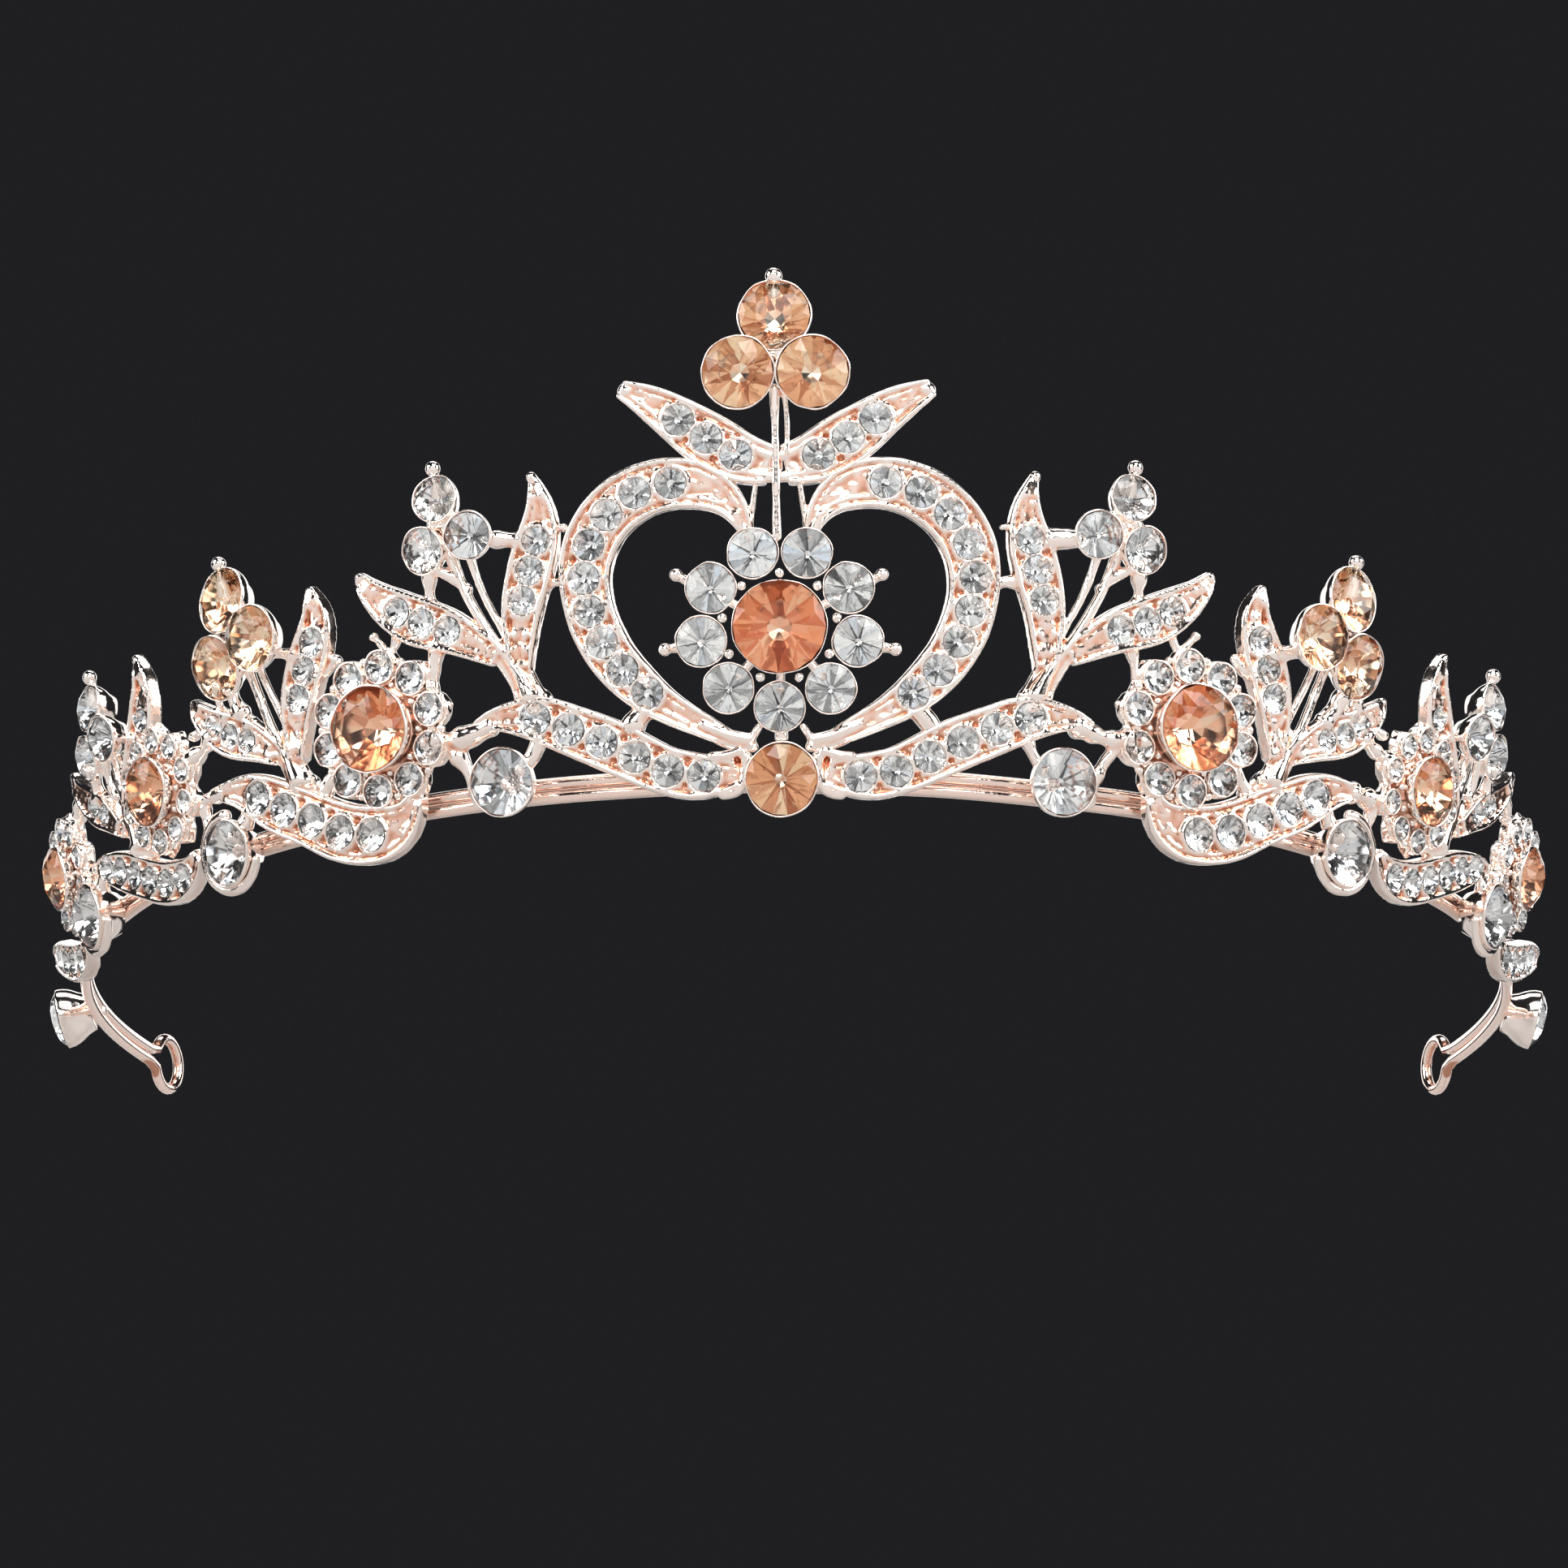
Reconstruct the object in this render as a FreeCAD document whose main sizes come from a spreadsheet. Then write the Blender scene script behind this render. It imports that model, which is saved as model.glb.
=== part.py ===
"""Bridal tiara: castings and stones on a leaning panel, soldered to a hairpin band.

Every place on the panel is given by three lengths in millimetres:
    along   distance round the band, measured from the middle of the front, positive to +X
    up      height up the leaning panel from the middle of the band
    out     distance outwards, square to the panel, from the back face of the castings
"""
import FreeCAD, Part
import math
import os

Vector = FreeCAD.Vector
ABOUT_Z = Vector(0, 0, 1)
SIDES = (("left", -1), ("right", 1))

doc = FreeCAD.newDocument("tiara")

# ---------------------------------------------------------------- driving dimensions

DIMENSIONS = (
    ("panel_radius", 74.0, "radius of the panel's back face at band height"),
    ("panel_lean", 14.5, "degrees that the panel leans outwards as it rises"),
    ("centre_lean", -0.015, "sideways drift of the centre motif for each mm of height"),
    ("axis_forward", 30.49, "distance from the footprint's middle to the band's axis, along +Y"),
    ("band_height", 5.18, "height of the middle of the band above the table"),
    ("wire_radius", 0.58, "radius of the round band wire"),
    ("strand_spacing", 1.24, "distance between the two strands of the band"),
    ("band_setback", 1.6, "depth of the band's wires behind the castings' back faces"),
    ("band_reach", 138.0, "length of band each side of the middle, up to its end loop"),
    ("loop_radius", 2.7, "radius of the end loop's centre line"),
    ("floor_thickness", 0.5, "metal under the stones in a channel"),
    ("rim_height", 1.5, "height of a channel's rims above its back face"),
    ("rim_width", 0.5, "width of a channel's rim"),
    ("stem_radius", 0.42, "radius of the cast stems and bridges"),
    ("cup_wall", 0.32, "wall of a stone's cup at its mouth"),
    ("seat_gap", 0.02, "gap between a stone and its cup"),
    ("plate_thickness", 0.45, "back plate of the rosettes"),
    ("drop_cup_depth", 3.2, "depth of a drop's cup"),
    ("drop_cup_height", 2.2, "height of a drop cup's mouth above the panel's back"),
    ("berry_cup_depth", 2.4, "depth of a berry's cup"),
    ("cup_floor", 0.3, "metal under the stone in the shallow cups"),
    ("cup_taper", 0.52, "radius of a cup's foot as a part of its mouth's radius"),
    ("ball_radius", 0.7, "radius of the finial balls"),
    ("solder_radius", 1.5, "radius of a solder joint where it wraps the band"),
    ("stone_peach", 8.2, "diameter of the stone in the centre flower"),
    ("stone_rosette", 7.7, "diameter of the stone in the first rosette"),
    ("stone_champagne", 6.3, "diameter of the crest, base and second rosette stones"),
    ("stone_third", 5.9, "diameter of the third rosette and second berry stones"),
    ("stone_drop", 5.85, "diameter of the clear drops"),
    ("stone_petal", 4.35, "diameter of the centre flower's petal stones"),
    ("stone_berry", 4.1, "diameter of the clear berry stones"),
    ("stone_wide", 3.0, "diameter of the stones in the ribbons"),
    ("stone_pave", 2.8, "diameter of the stones in the heart, crest leaves and first rosette"),
    ("stone_leaf", 2.55, "diameter of the stones in the spray leaves"),
    ("stone_small", 2.1, "diameter of the smallest stones"),
)

sheet = doc.addObject("Spreadsheet::Sheet", "Dimensions")
for row, (alias, value, meaning) in enumerate(DIMENSIONS, start=1):
    sheet.set(f"A{row}", meaning)
    sheet.set(f"B{row}", str(value))
    sheet.setAlias(f"B{row}", alias)
doc.recompute()
size = {alias: float(sheet.get(alias)) for alias, value, meaning in DIMENSIONS}

PANEL_LEAN = math.radians(size["panel_lean"])
BAND_CENTRE = Vector(0, size["axis_forward"], size["band_height"])

# Proportions of a cut stone, as parts of its diameter
TABLE_RADIUS = 0.33
CROWN_HEIGHT = 0.19
GIRDLE_HEIGHT = 0.04
PAVILION_DEPTH = 0.30
PAVILION_RADIUS = 0.22


# ---------------------------------------------------------------- the leaning panel

def panel_frame(along, up, out):
    """Point on the panel, and its directions along, up and out."""
    turn = along / size["panel_radius"]
    radial = Vector(math.sin(turn), -math.cos(turn), 0)
    tangent = Vector(math.cos(turn), math.sin(turn), 0)
    rise = ABOUT_Z * math.cos(PANEL_LEAN) + radial * math.sin(PANEL_LEAN)
    normal = radial * math.cos(PANEL_LEAN) - ABOUT_Z * math.sin(PANEL_LEAN)
    point = BAND_CENTRE + radial * size["panel_radius"] + rise * up + normal * out
    return point, tangent, rise, normal


def on_panel(along, up, out):
    return panel_frame(along, up, out)[0]


def seat(along, up, out, tilt_along=0.0, tilt_up=0.0):
    """Placement whose Z axis faces out of the panel, tipped by two angles in degrees."""
    point, tangent, rise, normal = panel_frame(along, up, out)
    turned = FreeCAD.Rotation(tangent, rise, normal, "ZXY")
    tip = FreeCAD.Rotation(Vector(0, 1, 0), tilt_along) * FreeCAD.Rotation(Vector(1, 0, 0), -tilt_up)
    return FreeCAD.Placement(point, turned * tip)


def centre_line(points, side, lean=0.0):
    """Smooth curve through (along, up, half width) points, with the centre motif's drift."""
    curve = Part.BSplineCurve()
    curve.interpolate([Vector(side * along + lean * up, up, half) for along, up, half in points])
    return curve


def curve_samples(curve, spacing):
    """(along, up, half width, side direction) at even steps of the curve's length."""
    steps = max(4, int(math.ceil(curve.length() / spacing)))
    samples = []
    for step in range(steps + 1):
        parameter = curve.parameterAtDistance(curve.length() * step / steps, curve.FirstParameter)
        here = curve.value(parameter)
        heading = curve.tangent(parameter)[0]
        across = Vector(-heading.y, heading.x, 0).normalize()
        samples.append((here.x, here.y, here.z, across))
    return samples


# ---------------------------------------------------------------- shared shapes

def loft(wires):
    solid = Part.makeLoft(wires, True, True)
    if solid.Volume < 0:
        solid.reverse()
    return solid


def section(along, up, across, profile):
    """Flat closed polygon square to a path, from (offset sideways, distance out) corners."""
    point, tangent, rise, normal = panel_frame(along, up, 0.0)
    sideways = (tangent * across.x + rise * across.y).normalize()
    corners = [point + sideways * offset + normal * out for offset, out in profile]
    return Part.makePolygon(corners + corners[:1])


def channel(points, side, lean=0.0):
    """Casting with a recessed floor between two rims, which close where it tapers to a point."""
    rim, floor, width = size["rim_height"], size["floor_thickness"], size["rim_width"]
    wires = []
    for along, up, half, across in curve_samples(centre_line(points, side, lean), 1.3):
        inner = max(0.06, half - width)
        recess = (rim - floor) * min(1.0, inner / 0.6)
        height = rim - 0.35 * max(0.0, 1.0 - half)
        wires.append(section(along, up, across, (
            (-half, 0.0), (half, 0.0), (half, height - 0.15), (half - 0.15, height),
            (inner, height), (inner * 0.94, height - recess), (-inner * 0.94, height - recess),
            (-inner, height), (0.15 - half, height), (-half, height - 0.15),
        )))
    return loft(wires)


def rod(points, side, radius, out=0.75, lean=0.0):
    """Round rod along (along, up) points, at one distance out of the panel's back."""
    curve = centre_line([(along, up, 0.0) for along, up in points], side, lean)
    angles = [math.radians(36 * turn) for turn in range(10)]
    ring = [(radius * math.cos(angle), out + radius * math.sin(angle)) for angle in angles]
    return loft([section(along, up, across, ring)
                 for along, up, half, across in curve_samples(curve, 1.2)])


def ball(along, up, out, side, lean=0.0, radius=None):
    return Part.makeSphere(radius or size["ball_radius"], on_panel(side * along + lean * up, up, out))


def joined(solids):
    """One casting from solids that run into each other."""
    solids = list(solids)
    return solids[0].fuse(solids[1:]) if len(solids) > 1 else solids[0]


def at(shape, placement):
    copy = shape.copy()
    copy.Placement = placement.multiply(copy.Placement)
    return copy


# ---------------------------------------------------------------- templates bound to the sheet

def bound(kind, name, **cells):
    """Part primitive whose properties follow the sheet."""
    solid = doc.addObject(kind, name)
    for attribute, formula in cells.items():
        solid.setExpression(attribute, formula)
    return solid


def lifted(solid, formula):
    solid.setExpression("Placement.Base.z", formula)
    return solid


def stone_template(alias):
    """Cut stone with its girdle at z = 0: a crown over a shortened pavilion."""
    cell = f"Dimensions.{alias}"
    pavilion = bound("Part::Cone", f"{alias}_pavilion", Radius1=f"{PAVILION_RADIUS} * {cell}",
                     Radius2=f"0.5 * {cell}", Height=f"{PAVILION_DEPTH} * {cell}")
    lifted(pavilion, f"-{PAVILION_DEPTH + GIRDLE_HEIGHT / 2} * {cell}")
    girdle = bound("Part::Cylinder", f"{alias}_girdle", Radius=f"0.5 * {cell}",
                   Height=f"{GIRDLE_HEIGHT} * {cell}")
    lifted(girdle, f"-{GIRDLE_HEIGHT / 2} * {cell}")
    crown = bound("Part::Cone", f"{alias}_crown", Radius1=f"0.5 * {cell}",
                  Radius2=f"{TABLE_RADIUS} * {cell}", Height=f"{CROWN_HEIGHT} * {cell}")
    lifted(crown, f"{GIRDLE_HEIGHT / 2} * {cell}")
    whole = doc.addObject("Part::MultiFuse", f"{alias}_stone")
    whole.Shapes = [pavilion, girdle, crown]
    whole.Refine = True
    return whole


def cup_template(name, alias, depth):
    """Tapered cup, mouth at z = 0, with a seat cut for the stone whose girdle is at its mouth."""
    cell = f"Dimensions.{alias}"
    wall = f"0.5 * {cell} + Dimensions.cup_wall"
    outside = bound("Part::Cone", f"{name}_outside", Radius2=wall, Height=depth,
                    Radius1=f"Dimensions.cup_taper * ({wall})")
    lifted(outside, f"-({depth})")
    gap = "Dimensions.seat_gap"
    hollow = bound("Part::Cone", f"{name}_hollow", Radius1=f"{PAVILION_RADIUS} * {cell} + {gap}",
                   Radius2=f"0.5 * {cell} + {gap}", Height=f"{PAVILION_DEPTH} * {cell}")
    lifted(hollow, f"-{PAVILION_DEPTH + GIRDLE_HEIGHT / 2} * {cell} - {gap}")
    mouth = bound("Part::Cylinder", f"{name}_mouth", Radius=f"0.5 * {cell} + {gap}", Height="1.2")
    lifted(mouth, f"-{GIRDLE_HEIGHT / 2} * {cell} - {gap}")
    cutter = doc.addObject("Part::MultiFuse", f"{name}_cutter")
    cutter.Shapes = [hollow, mouth]
    cup = doc.addObject("Part::Cut", f"{name}_cup")
    cup.Base = outside
    cup.Tool = cutter
    return cup


STONES = [alias for alias, value, meaning in DIMENSIONS if alias.startswith("stone_")]
stones = {alias: stone_template(alias) for alias in STONES}


def shallow(alias):
    """Formula for a cup just deep enough for its stone's pavilion and a floor."""
    return f"{PAVILION_DEPTH + GIRDLE_HEIGHT / 2} * Dimensions.{alias} + Dimensions.cup_floor"


cups = {
    "drop": cup_template("drop", "stone_drop", "Dimensions.drop_cup_depth"),
    "base": cup_template("base", "stone_champagne", "Dimensions.drop_cup_depth"),
    "champagne": cup_template("champagne", "stone_champagne", "Dimensions.berry_cup_depth"),
    "golden": cup_template("golden", "stone_third", "Dimensions.berry_cup_depth"),
    "berry": cup_template("berry", "stone_berry", "Dimensions.berry_cup_depth"),
    "peach": cup_template("peach", "stone_peach", shallow("stone_peach")),
    "rosette": cup_template("rosette", "stone_rosette", shallow("stone_rosette")),
    "second": cup_template("second", "stone_champagne", shallow("stone_champagne")),
    "third": cup_template("third", "stone_third", shallow("stone_third")),
    "petal": cup_template("petal", "stone_petal", shallow("stone_petal")),
    "pave": cup_template("pave", "stone_pave", shallow("stone_pave")),
    "small": cup_template("small", "stone_small", shallow("stone_small")),
}
doc.recompute()
cup_shape = {name: cup.Shape for name, cup in cups.items()}
cutter_shape = {name: cup.Tool.Shape for name, cup in cups.items()}
stone_shape = {alias: stone.Shape for alias, stone in stones.items()}

# ---------------------------------------------------------------- the design on the panel

HEART = (
    (2.6, 21.2, 0.5), (3.7, 23.7, 1.3), (5.5, 25.25, 1.95), (8.6, 25.9, 2.3), (11.9, 25.0, 2.45),
    (14.5, 22.75, 2.5), (15.95, 19.7, 2.45), (16.15, 16.5, 2.3), (15.5, 13.4, 2.25),
    (14.2, 10.7, 2.15), (12.2, 8.2, 1.95), (9.7, 6.1, 1.5), (7.0, 4.5, 1.1), (4.4, 3.2, 0.7),
    (3.3, 2.8, 0.4),
)
CREST_LEAF = (
    (0.6, 27.3, 1.8), (2.7, 27.9, 2.25), (5.0, 29.3, 2.5), (7.4, 31.2, 2.2),
    (9.9, 33.2, 1.45), (12.4, 34.6, 0.35),
)
RIBBONS = (
    ((4.0, 0.0, 1.2), (6.5, -0.15, 1.95), (9.8, 0.4, 2.15), (12.7, 1.8, 2.3), (15.6, 3.3, 2.35),
     (18.4, 4.6, 2.25), (21.2, 5.8, 2.05), (23.6, 6.2, 1.5), (26.0, 6.1, 0.8), (27.8, 5.6, 0.3)),
    ((33.2, 1.0, 0.4), (34.4, -1.0, 1.5), (36.5, -2.2, 2.4), (39.0, -2.3, 2.7), (42.3, -1.35, 2.75),
     (45.5, 0.4, 2.6), (48.8, 2.1, 2.5), (51.4, 3.6, 2.1), (54.0, 4.5, 1.3), (56.8, 4.7, 0.3)),
    ((60.0, 0.6, 0.4), (61.2, -0.8, 1.3), (63.5, -1.6, 1.95), (66.5, -1.2, 2.1), (69.5, 0.0, 2.1),
     (72.5, 1.3, 2.05), (75.3, 2.4, 1.7), (78.0, 3.2, 1.0), (80.4, 3.4, 0.3)),
    ((85.9, -1.4, 0.4), (86.7, -2.7, 1.2), (89.0, -3.0, 1.8), (92.5, -2.2, 1.95), (96.3, -0.8, 1.85),
     (99.8, 0.4, 1.5), (103.0, 1.2, 0.8), (105.5, 1.3, 0.3)),
)
# Stones in a channel: the first one's distance along it, their spacing, how many, and their kind
HEART_STONES = (8.6, 3.02, 9, "stone_pave")
CREST_LEAF_STONES = (2.9, 2.82, 3, "stone_pave")
RIBBON_STONES = ((2.9, 3.2, 6, "stone_pave"), (7.2, 3.45, 5, "stone_wide"),
                 (4.2, 2.85, 6, "stone_leaf"), (3.8, 3.1, 4, "stone_leaf"))

INNER_LEAVES = (
    ((22.5, 10.2, 0.9), (22.4, 13.2, 1.5), (22.0, 16.2, 1.95), (21.2, 19.0, 2.15), (20.4, 21.7, 2.0),
     (20.0, 24.2, 1.4), (20.2, 26.2, 0.75), (20.7, 27.9, 0.25)),
    ((45.8, 5.6, 0.8), (45.5, 8.2, 1.4), (44.8, 11.0, 1.95), (43.7, 13.6, 2.15), (42.4, 16.2, 2.0),
     (41.8, 18.6, 1.4), (42.3, 21.1, 0.3)),
    ((70.6, 6.2, 0.6), (69.5, 8.6, 1.2), (68.0, 10.7, 1.7), (66.4, 12.8, 1.95), (65.2, 15.2, 1.85),
     (64.6, 17.5, 1.3), (64.7, 19.1, 0.75), (65.2, 20.5, 0.25)),
)
OUTER_LEAVES = (
    ((24.6, 11.8, 1.0), (26.9, 13.4, 1.6), (29.2, 14.8, 2.05), (31.6, 15.9, 2.25), (33.9, 17.4, 2.0),
     (35.8, 19.2, 1.3), (37.2, 21.2, 0.35)),
    ((47.6, 6.5, 0.9), (49.4, 7.7, 1.5), (51.5, 8.9, 2.0), (53.5, 9.8, 2.1), (55.3, 11.0, 1.8),
     (56.9, 12.6, 1.1), (58.0, 14.1, 0.3)),
    ((71.8, 5.0, 0.6), (73.6, 6.6, 1.2), (75.6, 8.1, 1.7), (77.6, 9.5, 1.65), (79.5, 11.2, 1.15),
     (81.3, 13.6, 0.3)),
)
LEAF_STONES = ((6.4, 2.75, 3, "stone_leaf"), (5.9, 2.65, 3, "stone_leaf"),
               (5.4, 2.2, 3, "stone_small"))
OUTER_LEAF_STONES = ((5.3, 2.6, 3, "stone_leaf"), (4.6, 2.25, 3, "stone_small"),
                     (4.5, 2.3, 2, "stone_small"))
STEMS = (
    ((21.6, 7.2), (22.8, 10.1), (24.4, 12.7), (26.0, 15.6), (27.2, 18.4), (28.3, 22.2)),
    ((45.7, 3.2), (46.8, 6.0), (48.2, 9.0), (49.1, 12.0), (49.8, 14.4), (50.8, 17.4)),
    ((69.3, 2.6), (70.3, 5.2), (70.9, 8.0), (71.4, 11.0), (71.9, 14.0)),
)
# Cups of a berry cluster: along, up, out, then the degrees it tips along and up
BERRIES = (
    ((28.6, 26.5, 2.2, 0, 10), (25.8, 22.7, 2.7, -6, -4), (30.1, 22.0, 2.2, 8, -6)),
    ((51.0, 21.9, 2.2, 4, 10), (47.35, 17.4, 3.4, 3, 0), (52.75, 15.9, 2.4, 4, -10)),
    ((72.3, 17.6, 2.2, 0, 10), (70.3, 14.0, 2.7, -4, -4), (74.6, 13.2, 2.2, 6, -6)),
)
CREST_BERRIES = ((0.0, 40.5, 2.0, 0, 8), (-2.85, 35.3, 3.0, -4, -4), (2.85, 35.3, 3.0, 4, -4))
BERRY_CUPS = ("berry", "golden", "berry")

CENTRE_FLOWER = {"along": 0.0, "up": 12.8, "ring": 7.0, "petals": 9, "first": -90.0,
                 "cup": "peach", "stone": "stone_peach", "petal_cup": "petal",
                 "petal_stone": "stone_petal", "height": 3.1, "petal_height": 2.0,
                 "links": (-90, -50, 30, 150, 230)}
ROSETTES = (
    {"along": 36.4, "up": 6.9, "ring": 5.6, "petals": 10, "first": 98.0, "cup": "rosette",
     "stone": "stone_rosette", "petal_cup": "pave", "petal_stone": "stone_pave", "height": 3.1,
     "petal_height": 1.5},
    {"along": 64.6, "up": 7.2, "ring": 4.75, "petals": 10, "first": 98.0, "cup": "second",
     "stone": "stone_champagne", "petal_cup": "small", "petal_stone": "stone_small", "height": 2.7,
     "petal_height": 1.5},
    {"along": 86.7, "up": 4.9, "ring": 4.6, "petals": 10, "first": 98.0, "cup": "third",
     "stone": "stone_third", "petal_cup": "small", "petal_stone": "stone_small", "height": 2.6,
     "petal_height": 1.5},
)
DROPS = ((24.6, 0.5), (55.2, -0.9), (81.1, -0.6), (117.8, -0.6))
BASE = (0.0, -0.6)
SOLDER = (0.0, 10.0, 24.6, 38.5, 55.2, 67.0, 81.1, 97.0, 117.8)

# Bridges that join neighbouring castings, as (along, up) points
BRIDGES = (
    (((17.9, 20.6), (19.4, 20.9)), ((22.2, 20.4), (24.2, 21.9)), ((31.2, 17.6), (30.8, 20.0)),
     ((27.6, 5.7), (29.4, 5.4), (30.6, 6.2)), ((34.9, 18.4), (36.2, 15.8), (36.3, 13.6)),
     ((25.0, 3.8), (25.1, 5.6))),
    (((40.2, 14.0), (42.2, 14.4)), ((44.9, 14.8), (46.0, 15.6)), ((52.3, 11.8), (52.9, 13.0)),
     ((56.3, 4.8), (58.2, 5.2), (59.2, 5.8)), ((55.5, 2.3), (55.1, 3.9)), ((56.5, 11.0), (60.8, 9.8))),
    (((76.8, 10.6), (75.9, 11.6)), ((79.8, 3.5), (81.2, 3.8), (82.4, 4.2)),
     ((67.6, 13.2), (68.8, 13.8))),
)


# ---------------------------------------------------------------- sub-parts

nodes = {}


def add_node(label, solids):
    """Sub-part with one casting, or with a group of separate solids."""
    solids = list(solids)
    feature = doc.addObject("Part::Feature", label)
    feature.Shape = solids[0] if len(solids) == 1 else Part.makeCompound(solids)
    feature.Label = label
    nodes[label] = feature
    return feature


def cluster_seats(cluster, side, lean=0.0):
    for along, up, out, tilt_along, tilt_up in cluster:
        yield seat(side * along + lean * up, up, out, side * tilt_along, tilt_up)


def seated(solids, cutters):
    """One casting from solids that run into each other, with the stones' seats cut through it."""
    return solids[0].fuse(solids[1:]).cut(cutters)


def berry_cups(cluster, cup, finial, side, lean=0.0):
    places = list(cluster_seats(cluster, side, lean))
    solids = [at(cup_shape[cup], place) for place in places] + [ball(*finial, side, lean)]
    return seated(solids, [at(cutter_shape[cup], place) for place in places])


def flower_places(flower, side, lean=0.0):
    """Seat of the centre stone, then those of the petals round it."""
    along = side * flower["along"] + lean * flower["up"]
    centre = seat(along, flower["up"], 0)
    middle = centre.multiply(FreeCAD.Placement(Vector(0, 0, flower["height"]), FreeCAD.Rotation()))
    petals = []
    for count in range(flower["petals"]):
        angle = math.radians(flower["first"] - 360.0 * count / flower["petals"])
        spot = Vector(side * flower["ring"] * math.cos(angle), flower["ring"] * math.sin(angle),
                      flower["petal_height"])
        petals.append(centre.multiply(FreeCAD.Placement(spot, FreeCAD.Rotation())))
    return centre, middle, petals


def back_plate(flower, side):
    centre = flower_places(flower, side)[0]
    return [at(Part.makeCylinder(flower["ring"], size["plate_thickness"]), centre)]


def back_links(flower, side, lean):
    """Rods from the centre cup to some of the petals, and one down to the base cup."""
    along, up, ring = side * flower["along"], flower["up"], flower["ring"]
    rods = []
    for angle in flower["links"]:
        across, rise = math.cos(math.radians(angle)), math.sin(math.radians(angle))
        line = [(along + part * ring * across, up + part * ring * rise) for part in (0.3, 0.55, 0.8)]
        rods.append(rod(line, 1, size["stem_radius"], 0.9, lean))
    foot = [(along, up - ring - drop) for drop in (1.4, 2.2, 3.0)]
    return rods + [rod(foot, 1, size["stem_radius"], 0.9, lean)]


def flower_frame(flower, side, lean=0.0):
    """Raised centre cup and a ring of petal cups, on a back plate or held by links."""
    centre, middle, petals = flower_places(flower, side, lean)
    backing = back_links(flower, side, lean) if "links" in flower else back_plate(flower, side)
    cup, petal_cup = flower["cup"], flower["petal_cup"]
    solids = backing + [at(cup_shape[cup], middle)]
    solids += [at(cup_shape[petal_cup], place) for place in petals]
    cutters = [at(cutter_shape[cup], middle)]
    cutters += [at(cutter_shape[petal_cup], place) for place in petals]
    return seated(solids, cutters)


def stones_along(points, side, row, lean=0.0):
    """Stones set at even steps along a channel, each square to the panel."""
    first, spacing, count, alias = row
    curve = centre_line(points, side, lean)
    out = size["floor_thickness"] + (PAVILION_DEPTH + GIRDLE_HEIGHT / 2) * size[alias] + size["seat_gap"]
    for number in range(count):
        parameter = curve.parameterAtDistance(first + spacing * number, curve.FirstParameter)
        here = curve.value(parameter)
        yield at(stone_shape[alias], seat(here.x, here.y, out))


MOTIF_LEAN = size["centre_lean"]
for name, side in SIDES:
    add_node(f"heart_scroll_{name}", [channel(HEART, side, MOTIF_LEAN)])
    add_node(f"crest_leaf_{name}", [channel(CREST_LEAF, side, MOTIF_LEAN)])

CREST_RODS = (-0.1, 0.75)
STEM_FOOT, STEM_TOP = 20.6, 33.4
stem = [rod(((x, STEM_FOOT), (x, 27.0), (x, STEM_TOP)), 1, size["stem_radius"], 2.0, MOTIF_LEAN)
        for x in CREST_RODS]
add_node("crest_stem", stem)
add_node("crest_berry_cups", [berry_cups(CREST_BERRIES, "champagne", (0.0, 44.1, 1.4), 1, MOTIF_LEAN)])
add_node("centre_flower_frame", [flower_frame(CENTRE_FLOWER, 1, MOTIF_LEAN)])
add_node("base_cup", [at(cup_shape["base"], seat(*BASE, size["drop_cup_height"]))])

FINIALS = ((28.8, 29.3, 1.5), (51.3, 25.4, 1.5), (72.3, 20.6, 1.5))
for number, points in enumerate(RIBBONS):
    for name, side in SIDES:
        add_node(f"ribbon_{number + 1}_{name}", [channel(points, side)])
for number in range(3):
    for name, side in SIDES:
        pieces = [channel(INNER_LEAVES[number], side), channel(OUTER_LEAVES[number], side),
                  rod(STEMS[number], side, size["stem_radius"])]
        pieces += [rod(path, side, size["stem_radius"]) for path in BRIDGES[number]]
        add_node(f"spray_{number + 1}_{name}", [joined(pieces)])
        add_node(f"berry_cups_{number + 1}_{name}",
                 [berry_cups(BERRIES[number], BERRY_CUPS[number], FINIALS[number], side)])
        add_node(f"rosette_{number + 1}_{name}", [flower_frame(ROSETTES[number], side)])
for number, (along, up) in enumerate(DROPS):
    for name, side in SIDES:
        place = seat(side * along, up, size["drop_cup_height"])
        add_node(f"drop_cup_{number + 1}_{name}", [at(cup_shape["drop"], place)])

# Stones, one node for each kind
both = [side for name, side in SIDES]
add_node("heart_pave_stones", [stone for side in both
                               for stone in stones_along(HEART, side, HEART_STONES, MOTIF_LEAN)])
add_node("crest_leaf_stones",
         [stone for side in both
          for stone in stones_along(CREST_LEAF, side, CREST_LEAF_STONES, MOTIF_LEAN)])
add_node("crest_berry_stones", [at(stone_shape["stone_champagne"], place)
                                for place in cluster_seats(CREST_BERRIES, 1, MOTIF_LEAN)])
centre, middle, petals = flower_places(CENTRE_FLOWER, 1, MOTIF_LEAN)
add_node("flower_centre_stone", [at(stone_shape["stone_peach"], middle)])
add_node("flower_petal_stones", [at(stone_shape["stone_petal"], place) for place in petals])
add_node("base_stone", [at(stone_shape["stone_champagne"], seat(*BASE, size["drop_cup_height"]))])
add_node("ribbon_stones", [stone for side in both for points, row in zip(RIBBONS, RIBBON_STONES)
                           for stone in stones_along(points, side, row)])
leaf_rows = list(zip(INNER_LEAVES, LEAF_STONES)) + list(zip(OUTER_LEAVES, OUTER_LEAF_STONES))
add_node("leaf_stones", [stone for side in both for points, row in leaf_rows
                         for stone in stones_along(points, side, row)])
petal_stones, centre_stones = [], []
for rosette in ROSETTES:
    for side in both:
        centre, middle, petals = flower_places(rosette, side)
        centre_stones.append(at(stone_shape[rosette["stone"]], middle))
        petal_stones += [at(stone_shape[rosette["petal_stone"]], place) for place in petals]
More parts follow.
